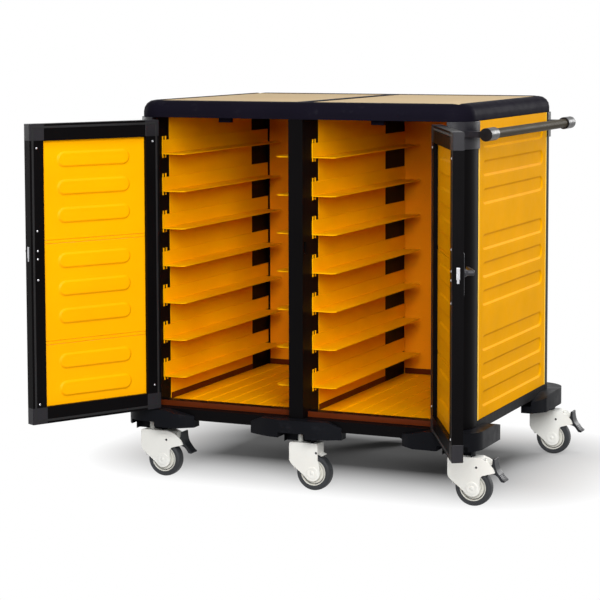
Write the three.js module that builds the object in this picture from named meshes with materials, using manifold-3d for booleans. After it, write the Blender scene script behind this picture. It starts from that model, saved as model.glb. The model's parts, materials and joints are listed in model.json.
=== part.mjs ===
// Enclosed meal tray cart: two bays of seven tray slides behind two hinged doors, on six swivel casters.
// Millimetres, +Z up, +X to the right of someone who faces the doors, +Y towards the back wall.
// Every size below is the real one. The cart is drawn about its own centre on the floor, and the last
// lines move it so that the origin lies under the middle of its box, with both doors open as shown.

import * as THREE from 'three';
import { mergeVertices } from 'three/addons/utils/BufferGeometryUtils.js';
import Module from 'manifold-3d';

// ---- driving dimensions -------------------------------------------------------------------------

const GAP = 0.3;                 // clearance between pieces that touch
const ARC_STEPS = 4;             // half the number of chords in a quarter circle

// body
const BODY_W = 976;
const BODY_D = 782;
const CORNER_R = 70;             // upright corners, seen from above
const BASE_Z = 170;              // underside of the front and rear beams
const SILL_Z = 200;              // top of the base ring, where posts and floor stand
const RIM_Z = 1012;              // underside of the top frame
const RIM_H = 46;
const RIM_EDGE_R = 32;           // rounding of the top frame's upper edge

// base frame
const BEAM_D = 60;               // front and rear beams, from the face inwards
const SIDE_RAIL_Z = 187;
const SIDE_RAIL_TOP = 214;
const RING_W = 70;               // side of the ring, from the face inwards
const RING_LEG = 96;             // full-height ends of the ring's sides, from the front and rear faces
const STOP_H = 16;               // upstand behind the doors
const STOP_T = 30;

// bays and posts
const WALL_INNER_X = 437.6;      // face of the outer walls, inside a bay
const CENTRE_HALF = 20.9;        // half of the centre posts
const POST_D = 107;              // depth of the front posts
const POST_WALL = 4;
const REAR_POST_D = 131;
const CENTRE_REAR_D = 175;        // rear centre post, which is deeper
const SIDE_PANEL_FRONT = 90;     // side panel's front edge behind the front face
const SIDE_PANEL_REAR = 86;      // its rear edge ahead of the rear face
const POST_RETURN_X = 455;       // inner end of a corner post's outer return
const DOOR_EDGE_X = 430;         // a corner post's inner front edge, which is the doors' hinge line
const BACK_T = 10;
const BACK_RECESS = 5;           // back panel's outer face ahead of the rear face

// panels
const SKIN_T = 10;
const LINER_T = 7.4;
const FLOOR_T = 4;
const FLOOR_RIB_H = 2.5;
const FLOOR_RIB_W = 12;
const FLOOR_RIBS = 7;            // per bay
const FLOOR_RIB_END = 30;        // plain floor past each end of a rib
const TOP_T = 20;
const TOP_RECESS = 2;            // top panels' face below the rim
const TOP_BAR_HALF = 13;         // bar between the two top panels
const TOP_RIM_W = 36;
const TOP_LEDGE = 12;
const CATCH_W = 36;              // catch under the rim, behind the middle of each door
const CATCH_D = 16;
const CATCH_H = 13;

// pressed panels: modules stacked from the top edge, each with ribs at fixed drops below its joint
const MODULE_H = 272;
const RIB_DROPS = [75, 150, 225];        // rib's lower edge below its module's top
const RIB_H = 45;
const SIDE_RIB_INSET = 33;       // rib's end from the panel's edge
const DOOR_RIB_INSET = 46;
const RIB_RISE = 4;              // pressed in from the outer face, out on the inner face
const RIB_SLOPE = 6;
const SEAM_W = 3;
const SEAM_D = 1.5;

// tray slides
const LEVELS = 7;
const LEVEL_PITCH = 105;
const TOP_LEVEL_Z = 905;         // underside of the highest slide
const SLIDE_T = 3;
const SLIDE_WEB = 40;
const SLIDE_REACH = 68;
const SLIDE_FRONT = 62;          // slide's front end behind the front face
const SLIDE_REAR = 61;           // its ledge's rear end ahead of the rear face
const WEB_REAR = 19;             // its web's rear end, past the rear post
const SLIDE_NOSE = 10;           // chamfer on the inner front corner

// doors
const DOOR_T = 28;
const DOOR_BOTTOM = 203;
const DOOR_TOP = 1006;
const DOOR_SIDE_GAP = 1.1;
const STILE_W = 42;
const RAIL_H = 45;
const PANEL_T = 8;
const PANEL_SETBACK = 8;         // panel behind the frame's outer face
const PANEL_GROOVE = 6;          // panel's edge inside the frame's groove
const LEFT_OPEN = 118.9;         // degrees, as photographed
const RIGHT_OPEN = 117.4;
const HINGE_PIN_R = 3.5;
const KNUCKLE_R = 7.5;
const KNUCKLE_H = 55;
const KNUCKLE_BORE = 0.35;       // running clearance round the pin
const HINGE_LEAF = 18;
const HINGE_LEAF_T = 2.2;
const HINGE_BLOCK = 7;           // block behind a fixed leaf, down into the corner's curve
const HINGE_HEIGHTS = [290, 555, 820];
const LATCH_Z = 665;
const SPINDLE_R = 7;
const LEVER_L = 95;
const LEVER_W = 14;
const LEVER_T = 8;
const LEVER_STAND_OFF = 20;
const BOLT_W = 9;
const BOLT_H = 30;
const BOLT_L = 30;
const BOLT_PROUD = 1;            // bolt past the door's edge with the lever at rest

// corner fittings and push handle
const FITTING_H = 72;
const FITTING_T = 5;
const HANDLE_X = 535;
const HANDLE_Z = 980;
const HANDLE_R = 13;
const KNOB_R = 17.5;
const KNOB_L = 65;
const KNOB_END = 17;             // closed end of a knob past the tube
const HANDLE_HALF = 366;
const ARM_W = 20;
const ARM_H = 16;
const ARM_INSET = 6;             // arm's outer face from the closed end of its knob
const FITTING_START = 14;        // shell's front edge past the start of the corner's curve

// bumpers
const BUMPER_OUT = 35;
const BUMPER_R = 75;
const BUMPER_Z = 150;
const BUMPER_TOP = 199;
const BUMPER_TIP = 182;          // top of a wing at its end
const BUMPER_FRONT_WING = 179;   // wing along the front or rear, from the side face
const BUMPER_SIDE_WING = 220;
const BUMPER_INSIDE = 29;        // how far a bumper reaches under the base
const BUMPER_HALF = 135;         // centre bumpers
const BUMPER_EDGE = 3;           // thickness past the face at a wing's end
const BUMPER_SLOPE = 41;         // run of the slope from a wing's end to the full thickness
const PAD_R = 45;
const PAD_Z = 132;
const ARCH_HALF = 40;            // arch in the bumper and pad, which leaves the stem in view
const ARCH_Z = 164;

// casters
const STEM_X = 458;
const STEM_Y = 360;
const STEM_R = 7;
const WHEEL_R = 50;
const TYRE_W = 32;
const HUB_R = 36;
const HUB_W = 30;
const AXLE_R = 5;
const TRAIL = 43;
const FORK_HALF = 22;
const HOUSING_FRONT = 25;        // housing ahead of the stem's axis
const HOUSING_REAR = 59;         // housing behind it, without a brake
const HOUSING_EDGE_R = 8;
const HOUSING_KNEE_Z = 84;       // foot of the upright front, where the fork starts to trail
const HOOD_REAR = 106;           // tip of the hood over a braked wheel
const HOOD_TIP_Z = 95;
const HOOD_Z = 85;
const HOOD_OPEN = 72;            // start of the pedal's room between the hood's cheeks
const BOSS_R = 23;               // fork round the axle
const FORK_SLOT = 17.6;
const WHEEL_CLEAR = 4;
const DISH_D = 4;                // ring-shaped dish in both faces of a hub
const DISH_OUT = 5;              // plain rim outside the dish
const DISH_IN = 16;              // from the rim to the boss inside it
const TYRE_EDGE = 5;             // bevel along both edges of the tread
const PEDAL_PIVOT = [88, 100];
const PEDAL_PIN_R = 4;
const PEDAL_HUB_R = 8;

// ---- colours ------------------------------------------------------------------------------------

const finish = (color, roughness, metalness = 0) => ({ color, roughness, metalness });
const YELLOW = finish(0xf7b016, 0.42);
const LINING = finish(0xf0a010, 0.5);
const CREAM = finish(0xf3dfae, 0.35);
const BLACK = finish(0x17171c, 0.5);
const BLACK_METAL = finish(0x1c1d22, 0.45, 0.3);
const GREY = finish(0x5a5d61, 0.45, 0.5);
const STEEL = finish(0x9a9da1, 0.35, 0.9);
const WHITE = finish(0xf1f1ee, 0.4);
const RUBBER = finish(0x3d3f42, 0.8);

// ---- solids -------------------------------------------------------------------------------------

const wasm = await Module();
wasm.setup();

const FACE_Y = BODY_D / 2;
const FACE_X = BODY_W / 2;
const RIM_TOP = RIM_Z + RIM_H;

function solid(geometry) {
  geometry.deleteAttribute('normal');
  geometry.deleteAttribute('uv');
  const merged = mergeVertices(geometry, 1e-4);
  return new wasm.Manifold(new wasm.Mesh({
    numProp: 3,
    vertProperties: new Float32Array(merged.attributes.position.array),
    triVerts: new Uint32Array(merged.index.array),
  }));
}

function geometryOf(manifold) {
  const mesh = manifold.getMesh();
  const geometry = new THREE.BufferGeometry();
  geometry.setAttribute('position', new THREE.BufferAttribute(mesh.vertProperties, 3));
  geometry.setIndex(new THREE.BufferAttribute(mesh.triVerts, 1));
  geometry.computeVertexNormals();
  return geometry;
}

const join = (...pieces) => pieces.flat().reduce((sum, piece) => sum.add(piece));
const cut = (body, ...tools) => tools.flat().reduce((rest, tool) => rest.subtract(tool), body);

function box(xa, xb, ya, yb, za, zb) {
  const geometry = new THREE.BoxGeometry(Math.abs(xb - xa), Math.abs(yb - ya), Math.abs(zb - za));
  return solid(geometry.translate((xa + xb) / 2, (ya + yb) / 2, (za + zb) / 2));
}

function extrude(shape, depth, segments = ARC_STEPS) {
  return new THREE.ExtrudeGeometry(shape, { depth, bevelEnabled: false, curveSegments: segments });
}

// plan outline extruded upwards
const upright = (shape, za, zb, segments) => solid(extrude(shape, zb - za, segments).translate(0, 0, za));

// outline drawn in X and Z, extruded along Y
function across(shape, ya, yb, segments) {
  return solid(extrude(shape, yb - ya, segments).rotateX(Math.PI / 2).translate(0, yb, 0));
}

// outline drawn in Y and Z, extruded along X
const TURN_YZ = new THREE.Matrix4().set(0, 0, 1, 0, 1, 0, 0, 0, 0, 1, 0, 0, 0, 0, 0, 1);
function along(shape, xa, xb, segments) {
  return solid(extrude(shape, xb - xa, segments).applyMatrix4(TURN_YZ).translate(xa, 0, 0));
}

function rodZ(radius, x, y, za, zb, sides = 12) {
  const geometry = new THREE.CylinderGeometry(radius, radius, zb - za, sides).rotateX(Math.PI / 2);
  return solid(geometry.translate(x, y, (za + zb) / 2));
}

function rodY(radius, x, z, ya, yb, sides = 20) {
  const geometry = new THREE.CylinderGeometry(radius, radius, yb - ya, sides);
  return solid(geometry.translate(x, (ya + yb) / 2, z));
}

function polygon(points) {
  const shape = new THREE.Shape();
  points.forEach(([u, v], i) => (i ? shape.lineTo(u, v) : shape.moveTo(u, v)));
  shape.closePath();
  return shape;
}

function roundedRect(halfW, halfD, radius) {
  const shape = new THREE.Shape();
  const quarter = Math.PI / 2;
  shape.moveTo(halfW, -halfD + radius);
  shape.absarc(halfW - radius, halfD - radius, radius, 0, quarter);
  shape.absarc(-halfW + radius, halfD - radius, radius, quarter, 2 * quarter);
  shape.absarc(-halfW + radius, -halfD + radius, radius, 2 * quarter, 3 * quarter);
  shape.absarc(halfW - radius, -halfD + radius, radius, 3 * quarter, 4 * quarter);
  shape.closePath();
  return shape;
}

// the body's outline, grown by a margin
const bodyPlan = (margin) => roundedRect(FACE_X + margin, FACE_Y + margin, CORNER_R + margin);

function mesh(name, shape, look) {
  const geometry = shape.isBufferGeometry ? shape : geometryOf(shape);
  const made = new THREE.Mesh(geometry, new THREE.MeshStandardMaterial(look));
  made.name = name;
  return made;
}

// ---- pressed panels -----------------------------------------------------------------------------

// oblong rib with round ends, bevelled on both faces, standing in X and Z at a height
function rib(length, centreZ, thickness) {
  const half = length / 2 - RIB_H / 2;
  const radius = RIB_H / 2 - RIB_SLOPE;
  const shape = new THREE.Shape();
  shape.moveTo(half, -radius);
  shape.absarc(half, 0, radius, -Math.PI / 2, Math.PI / 2);
  shape.absarc(-half, 0, radius, Math.PI / 2, Math.PI * 1.5);
  shape.closePath();
  const geometry = new THREE.ExtrudeGeometry(shape, {
    depth: thickness - 2 * RIB_RISE,
    bevelThickness: RIB_RISE,
    bevelSize: RIB_SLOPE,
    bevelSegments: 1,
    curveSegments: 3,
  });
  geometry.rotateX(Math.PI / 2).translate(0, thickness / 2 - RIB_RISE, centreZ);
  return solid(geometry);
}

// Flat panel in X and Z with its middle plane at y = 0 and its outer face towards -Y. The ribs are pressed
// in from the outer face; on a thin panel they stand out of the inner face as well. Its modules stack
// down from the top.
function pressedPanel(halfW, inset, [zBottom, zTop], thickness, thin, top) {
  const tops = [top, top - MODULE_H, top - 2 * MODULE_H];
  const tool = 3 * RIB_RISE;
  let panel = box(-halfW, halfW, -thickness / 2, thickness / 2, zBottom, zTop);
  for (const joint of tops) {
    for (const drop of RIB_DROPS) {
      const centre = joint - drop + RIB_H / 2;
      if (centre - RIB_H / 2 > zBottom + RIB_SLOPE && centre + RIB_H / 2 < zTop - RIB_SLOPE) {
        const pressed = rib(2 * (halfW - inset), centre, tool).translate([0, (thickness - tool) / 2, 0]);
        if (thin) panel = panel.add(pressed.translate([0, RIB_RISE, 0]));
        panel = cut(panel, pressed.translate([0, RIB_RISE - thickness, 0]));
      }
    }
    if (joint < top && joint > zBottom + SEAM_W) {
      for (const side of thin ? [-1, 1] : [-1]) {
        const face = side * thickness / 2;
        const [z0, z1] = [joint - SEAM_W / 2, joint + SEAM_W / 2];
        panel = cut(panel, box(-halfW - 1, halfW + 1, face - side * SEAM_D, face + side, z0, z1));
      }
    }
  }
  return panel;
}

// ---- base, posts and top ------------------------------------------------------------------------

function baseFrame() {
  const ring = cut(
    upright(bodyPlan(0), BASE_Z, SILL_Z),
    box(-FACE_X + RING_W, -CENTRE_HALF, -FACE_Y + BEAM_D, FACE_Y - BEAM_D, 0, RIM_Z),
    box(CENTRE_HALF, FACE_X - RING_W, -FACE_Y + BEAM_D, FACE_Y - BEAM_D, 0, RIM_Z),
    box(-FACE_X - 1, FACE_X + 1, -FACE_Y + RING_LEG, FACE_Y - RING_LEG, 0, SIDE_RAIL_Z),
  );
  const stops = [-1, 1].map((side) => {
    const xs = [side * (CENTRE_HALF + GAP), side * (WALL_INNER_X - GAP)];
    const back = -FACE_Y + STOP_T;
    return box(...xs, back, back + STOP_T, SILL_Z - 1, SILL_Z + STOP_H);
  });
  const rails = [-1, 1].map((side) => {
    const xs = [side * FACE_X, side * POST_RETURN_X];
    const [front, rear] = [-FACE_Y + SIDE_PANEL_FRONT + GAP, FACE_Y - SIDE_PANEL_REAR - GAP];
    return box(...xs, front, rear, SILL_Z - 1, SIDE_RAIL_TOP);
  });
  return join(ring, stops, rails);
}

// corner post: a rounded tube with a lip that frames the opening and a return along the side wall
function cornerPost(sideX, sideY) {
  const front = sideY < 0;
  const outer = front ? SIDE_PANEL_FRONT : SIDE_PANEL_REAR;
  const inner = front ? POST_D : REAR_POST_D;
  const lip = front ? DOOR_T + 2 : BACK_T + BACK_RECESS;
  const block = (xa, xb, da, db, za, zb) => {
    return box(sideX * xa, sideX * xb, sideY * (FACE_Y - da), sideY * (FACE_Y - db), za, zb);
  };
  const heights = [SILL_Z + GAP, RIM_Z - GAP];
  const section = join(
    block(DOOR_EDGE_X, FACE_X + 1, -1, lip, ...heights),
    block(WALL_INNER_X, FACE_X + 1, 0, outer, ...heights),
    block(WALL_INNER_X, POST_RETURN_X, 0, inner, ...heights),
  );
  const w = POST_WALL;
  const hollow = block(WALL_INNER_X + w, FACE_X - w, w, outer - w, 0, 2 * RIM_Z);
  const [skin, core] = [upright(bodyPlan(0), 0, 2 * RIM_Z), upright(bodyPlan(-w), 0, 2 * RIM_Z)];
  return cut(section.intersect(skin), hollow.intersect(core));
}

function centrePost(sideY) {
  const front = sideY < 0;
  const back = front ? 0 : BACK_T + BACK_RECESS + GAP;
  const deep = front ? POST_D : CENTRE_REAR_D;
  const [ya, yb] = [sideY * (FACE_Y - back), sideY * (FACE_Y - deep)];
  const w = POST_WALL;
  const post = box(-CENTRE_HALF, CENTRE_HALF, ya, yb, SILL_Z + GAP, RIM_Z - GAP);
  const core = box(-CENTRE_HALF + w, CENTRE_HALF - w, ya - sideY * w, yb + sideY * w, 0, 2 * RIM_Z);
  if (!front) return cut(post, core);
  const middle = -FACE_Y + DOOR_T / 2;
  const [halfW, halfH] = [BOLT_W / 2 + 1, BOLT_H / 2 + 1];
  const strike = box(-FACE_X, FACE_X, middle - halfW, middle + halfW, LATCH_Z - halfH, LATCH_Z + halfH);
  return cut(post, core, strike);
}

function topFrame() {
  const outline = bodyPlan(0);
  const rounded = new THREE.ExtrudeGeometry(outline, {
    depth: RIM_H,
    bevelThickness: RIM_EDGE_R,
    bevelSize: RIM_EDGE_R,
    bevelOffset: -RIM_EDGE_R,
    bevelSegments: 4,
    curveSegments: ARC_STEPS,
  });
  const lid = solid(rounded.translate(0, 0, RIM_Z - RIM_EDGE_R));
  const rim = cut(lid, box(-BODY_W, BODY_W, -BODY_D, BODY_D, 0, RIM_Z));
  const windows = [-1, 1].flatMap((side) => [
    box(...topWindow(side, 0), RIM_TOP - TOP_RECESS - TOP_T - GAP, 2 * RIM_Z),
    box(...topWindow(side, TOP_LEDGE), 0, 2 * RIM_Z),
  ]);
  const catches = [-1, 1].map((side) => {
    const middle = side * (DOOR_EDGE_X + CENTRE_HALF) / 2;
    const back = -FACE_Y + DOOR_T + 2;
    return box(middle - CATCH_W / 2, middle + CATCH_W / 2, back, back + CATCH_D, RIM_Z - CATCH_H, RIM_Z + 1);
  });
  return join(cut(rim, windows), catches);
}

// window over one bay: x and y limits, drawn in by a margin
function topWindow(side, margin) {
  const near = TOP_BAR_HALF + margin;
  const far = FACE_X - TOP_RIM_W - margin;
  const depth = FACE_Y - TOP_RIM_W - margin;
  return [side * near, side * far, -depth, depth];
}

function topPanel(side) {
  const top = RIM_TOP - TOP_RECESS;
  return box(...topWindow(side, GAP), top - TOP_T, top);
}

function floorPanel() {
  const edge = WALL_INNER_X - GAP;
  const [front, rear] = [-FACE_Y + 2 * STOP_T + GAP, FACE_Y - BACK_T - BACK_RECESS - GAP];
  const top = SILL_Z + GAP + FLOOR_T;
  const half = CENTRE_HALF + GAP;
  const sheet = cut(
    box(-edge, edge, front, rear, SILL_Z + GAP, top),
    box(-half, half, front - 1, -FACE_Y + POST_D + GAP, 0, RIM_Z),
    box(-half, half, FACE_Y - CENTRE_REAR_D - GAP, rear + 1, 0, RIM_Z),
  );
  const ribs = [];
  const pitch = (edge - half) / (FLOOR_RIBS + 1);
  for (const side of [-1, 1]) {
    for (let i = 1; i <= FLOOR_RIBS; i++) {
      const x = side * (half + i * pitch);
      const [xa, xb] = [x - FLOOR_RIB_W / 2, x + FLOOR_RIB_W / 2];
      const ys = [front + FLOOR_RIB_END, rear - FLOOR_RIB_END];
      ribs.push(box(xa, xb, ...ys, top - 1, top + FLOOR_RIB_H));
    }
  }
  return join(sheet, ribs);
}

function sidePanel(side) {
  const [front, rear] = [-FACE_Y + SIDE_PANEL_FRONT + GAP, FACE_Y - SIDE_PANEL_REAR - GAP];
  const [half, top] = [(rear - front) / 2, RIM_Z - GAP];
  const panel = pressedPanel(half, SIDE_RIB_INSET, [SIDE_RAIL_TOP + GAP, top], SKIN_T, false, top);
  const turned = panel.rotate([0, 0, side * 90]);
  return turned.translate([side * (FACE_X - SKIN_T / 2), (front + rear) / 2, 0]);
}

function backPanel() {
  const rear = FACE_Y - BACK_RECESS;
  const edge = DOOR_EDGE_X - GAP;
  return box(-edge, edge, rear - BACK_T, rear, SILL_Z + GAP, RIM_Z - GAP);
}

// ---- tray racks ---------------------------------------------------------------------------------

// one slide: an L section along the bay, its web against the wall, its tray ledge reaching inwards
function slide(wallX, inward, level) {
  const z = TOP_LEVEL_Z - level * LEVEL_PITCH;
  const [front, rear] = [-FACE_Y + SLIDE_FRONT, FACE_Y - SLIDE_REAR];
  const web = box(wallX, wallX + inward * SLIDE_T, front, FACE_Y - WEB_REAR, z, z + SLIDE_WEB);
  const tip = wallX + inward * SLIDE_REACH;
  const ledge = [
    [wallX, front], [tip - inward * SLIDE_NOSE, front], [tip, front + SLIDE_NOSE], [tip, rear], [wallX, rear],
  ];
  return web.add(upright(polygon(inward > 0 ? ledge : ledge.reverse()), z, z + SLIDE_T));
}

const slides = (wallX, inward) => [...Array(LEVELS).keys()].map((level) => slide(wallX, inward, level));
const WALL_FRONT = -FACE_Y + POST_D + GAP;
const WALL_BOTTOM = SILL_Z + FLOOR_T + 2 * GAP;

function outerRack(side) {
  const face = side * (WALL_INNER_X - GAP);
  const xs = [side * (WALL_INNER_X + LINER_T), face - side * GAP];
  const liner = box(...xs, WALL_FRONT, FACE_Y - REAR_POST_D - GAP, WALL_BOTTOM, RIM_Z - GAP);
  return join(liner, slides(face, -side));
}

function centreRack() {
  const face = CENTRE_HALF + GAP;
  const rear = FACE_Y - CENTRE_REAR_D - GAP;
  const w = POST_WALL;
  const wall = cut(
    box(-face - GAP, face + GAP, WALL_FRONT, rear, WALL_BOTTOM, RIM_Z - GAP),
    box(-face + w, face - w, WALL_FRONT + w, rear - w, 0, 2 * RIM_Z),
  );
  return join(wall, slides(-face, -1), slides(face, 1));
}

// ---- doors --------------------------------------------------------------------------------------

// Each door is drawn closed, with its hinge axis as origin; side is 1 for the right door.
const HINGE_Y = -FACE_Y - KNUCKLE_R - 2 * GAP;
const DOOR_FACE = -FACE_Y - HINGE_Y;                       // outer face, behind the hinge axis
const DOOR_NEAR = DOOR_SIDE_GAP;                           // hinge edge, from the axis
const DOOR_FAR = DOOR_EDGE_X - CENTRE_HALF - DOOR_SIDE_GAP;
const DOOR_MID_Y = DOOR_FACE + DOOR_T / 2;
const PANEL_Y = DOOR_FACE + PANEL_SETBACK + PANEL_T / 2;      // panel's middle plane

const doorBox = (side, xa, xb, ...rest) => box(-side * xa, -side * xb, ...rest);

function doorFrame(side) {
  const [near, far] = [DOOR_FACE, DOOR_FACE + DOOR_T];
  const leaf = doorBox(side, DOOR_NEAR, DOOR_FAR, near, far, DOOR_BOTTOM, DOOR_TOP);
  const [xa, xb] = [DOOR_NEAR + STILE_W, DOOR_FAR - STILE_W];
  const opening = doorBox(side, xa, xb, near - 1, far + 1, DOOR_BOTTOM + RAIL_H, DOOR_TOP - RAIL_H);
  const deep = PANEL_GROOVE + GAP;
  const groove = doorBox(
    side, xa - deep, xb + deep, PANEL_Y - PANEL_T / 2 - GAP, PANEL_Y + PANEL_T / 2 + GAP,
    DOOR_BOTTOM + RAIL_H - deep, DOOR_TOP - RAIL_H + deep,
  );
  const spindleX = -side * (DOOR_FAR - STILE_W / 2);
  const spindleHole = rodY(SPINDLE_R + KNUCKLE_BORE, spindleX, LATCH_Z, near - 1, DOOR_MID_Y - BOLT_W);
  const boltHole = doorBox(
    side, DOOR_FAR - BOLT_L, DOOR_FAR + 1,
    DOOR_MID_Y - BOLT_W / 2 - GAP, DOOR_MID_Y + BOLT_W / 2 + GAP,
    LATCH_Z - BOLT_H / 2 - GAP, LATCH_Z + BOLT_H / 2 + GAP,
  );
  const frame = cut(leaf, opening, groove, spindleHole, boltHole);
  const lifted = HINGE_HEIGHTS.map((z) => z + KNUCKLE_H + GAP);
  const bore = rodZ(HINGE_PIN_R + KNUCKLE_BORE, 0, 0, 0, RIM_Z);
  return cut(join(frame, lifted.map((z) => knuckle(-side, z, -1))), bore);
}

// hinge knuckle on the axis with a flat leaf towards one side, standing off the face by a seat gap
function knuckle(leafSide, z, seat) {
  const leafY = DOOR_FACE - seat;
  const leaf = box(0, leafSide * HINGE_LEAF, leafY - HINGE_LEAF_T, leafY, z, z + KNUCKLE_H);
  return rodZ(KNUCKLE_R, 0, 0, z, z + KNUCKLE_H).add(leaf);
}

// the fixed half of a door's hinge: the long pin with the knuckles that are screwed to the post, each on
// a block whose back follows the post's curve
function hinge(side) {
  const top = Math.max(...HINGE_HEIGHTS) + 2 * KNUCKLE_H + GAP;
  const pin = rodZ(HINGE_PIN_R, 0, 0, Math.min(...HINGE_HEIGHTS), top);
  const post = upright(bodyPlan(GAP), 0, RIM_Z).translate([-side * DOOR_EDGE_X, -HINGE_Y, 0]);
  const blocks = HINGE_HEIGHTS.map((z) => {
    const xs = [side * DOOR_SIDE_GAP, side * HINGE_LEAF];
    return box(...xs, DOOR_FACE - HINGE_LEAF_T, DOOR_FACE + HINGE_BLOCK, z, z + KNUCKLE_H);
  });
  return join(pin, HINGE_HEIGHTS.map((z) => knuckle(side, z, GAP)), cut(join(blocks), post));
}

function doorPanel(side) {
  const half = (DOOR_FAR - DOOR_NEAR) / 2 - STILE_W + PANEL_GROOVE;
  const [bottom, top] = [DOOR_BOTTOM + RAIL_H, DOOR_TOP - RAIL_H];
  const sheet = [bottom - PANEL_GROOVE, top + PANEL_GROOVE];
  const panel = pressedPanel(half, DOOR_RIB_INSET + PANEL_GROOVE, sheet, PANEL_T, true, top);
  return panel.translate([-side * (DOOR_NEAR + DOOR_FAR) / 2, PANEL_Y, 0]);
}

// lever and spindle, about the spindle's own axis at the height of the latch, pointing to the hinge
function doorLever(side) {
  const back = DOOR_FACE - LEVER_STAND_OFF;
  const half = LEVER_W / 2;
  const spindle = rodY(SPINDLE_R, 0, 0, back - 1, DOOR_MID_Y - BOLT_W - GAP);
  const grip = box(-side * half, side * (LEVER_L - half), back - LEVER_T, back, -half, half);
  return join(spindle, grip);
}

function latchBolt(side) {
  const tip = DOOR_FAR + BOLT_PROUD;
  const [halfW, halfH] = [BOLT_W / 2, BOLT_H / 2];
  const [front, rear] = [DOOR_MID_Y - halfW, DOOR_MID_Y + halfW];
  return doorBox(side, tip + 2 * GAP - BOLT_L, tip, front, rear, LATCH_Z - halfH, LATCH_Z + halfH);
}

// ---- corner fittings and handle -----------------------------------------------------------------

// shell round the top of a corner post; the right-hand ones carry the push handle
function cornerFitting(sideX, sideY) {
  const [za, zb] = [RIM_Z - FITTING_H, RIM_Z - GAP];
  const body = upright(bodyPlan(GAP), 0, 2 * RIM_Z);
  const nearX = FACE_X - CORNER_R + FITTING_START;
  const nearY = FACE_Y - SIDE_PANEL_REAR;
  const corner = box(sideX * nearX, sideX * BODY_W, sideY * nearY, sideY * BODY_D, za, zb);
  const shell = upright(bodyPlan(FITTING_T), za, zb).intersect(corner);
  if (sideX < 0) return cut(shell, body);
  const armY = HANDLE_HALF + KNOB_END - ARM_W / 2 - ARM_INSET;
  const [ya, yb] = [sideY * (armY - ARM_W / 2), sideY * (armY + ARM_W / 2)];
  const arm = box(FACE_X - CORNER_R / 2, HANDLE_X, ya, yb, HANDLE_Z - ARM_H / 2, HANDLE_Z + ARM_H / 2);
  const tip = HANDLE_HALF + KNOB_END;
  const ends = [sideY * tip, sideY * (tip - KNOB_L)].sort((a, b) => a - b);
  const knob = rodY(KNOB_R, HANDLE_X, HANDLE_Z, ...ends);
  const seat = [0, sideY * (HANDLE_HALF + GAP)].sort((a, b) => a - b);
  const socket = rodY(HANDLE_R + GAP, HANDLE_X, HANDLE_Z, ...seat);
  return cut(join(shell, arm, knob), body, socket);
}

const pushHandle = () => rodY(HANDLE_R, HANDLE_X, HANDLE_Z, -HANDLE_HALF, HANDLE_HALF);

// ---- bumpers ------------------------------------------------------------------------------------

// what a bumper must leave clear: the base and everything above it
const baseRoom = () => upright(bodyPlan(GAP), BASE_Z - GAP, 2 * RIM_Z);

// pad under the base that carries a caster's stem
function stemPad(x, y) {
  return rodZ(PAD_R, x, y, PAD_Z, BUMPER_Z + 1, 28);
}

// the stem's hole, with the arch in front of it
function stemRoom(x, y) {
  const hole = rodZ(STEM_R + GAP, x, y, 0, BASE_Z);
  return hole.add(box(x - ARCH_HALF, x + ARCH_HALF, y, FACE_Y + 2 * BUMPER_OUT, 0, ARCH_Z));
}

function cornerBumper(sideX, sideY) {
  const [outX, outY] = [FACE_X + BUMPER_OUT, FACE_Y + BUMPER_OUT];
  const [wingX, wingY] = [FACE_X - BUMPER_FRONT_WING, FACE_Y - BUMPER_SIDE_WING];
  const plan = new THREE.Shape();
  plan.moveTo(wingX, FACE_Y - BUMPER_INSIDE);
  plan.lineTo(wingX, FACE_Y + BUMPER_EDGE);
  plan.lineTo(wingX + BUMPER_SLOPE, outY);
  plan.lineTo(outX - BUMPER_R, outY);
  plan.absarc(outX - BUMPER_R, outY - BUMPER_R, BUMPER_R, Math.PI / 2, 0, true);
  plan.lineTo(outX, wingY + BUMPER_SLOPE);
  plan.lineTo(FACE_X + BUMPER_EDGE, wingY);
  plan.lineTo(FACE_X - BUMPER_INSIDE, wingY);
  plan.lineTo(FACE_X - BUMPER_INSIDE, STEM_Y - PAD_R);
  plan.lineTo(STEM_X - PAD_R, FACE_Y - BUMPER_INSIDE);
  plan.closePath();
  const body = upright(plan, BUMPER_Z, BUMPER_TOP);
  const profile = (wing, far) => polygon([
    [wing - 1, BUMPER_Z - 1], [far, BUMPER_Z - 1], [far, BUMPER_TOP + 1],
    [wing + 2 * BUMPER_SLOPE, BUMPER_TOP + 1], [wing - 1, BUMPER_TIP],
  ]);
  const sloped = body
    .intersect(across(profile(wingX, 2 * outX), 0, 2 * outY))
    .intersect(along(profile(wingY, 2 * outY), 0, 2 * outX));
  const whole = cut(sloped.add(stemPad(STEM_X, STEM_Y)), baseRoom(), stemRoom(STEM_X, STEM_Y));
  return mirrored(whole, sideX, sideY);
}

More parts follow.
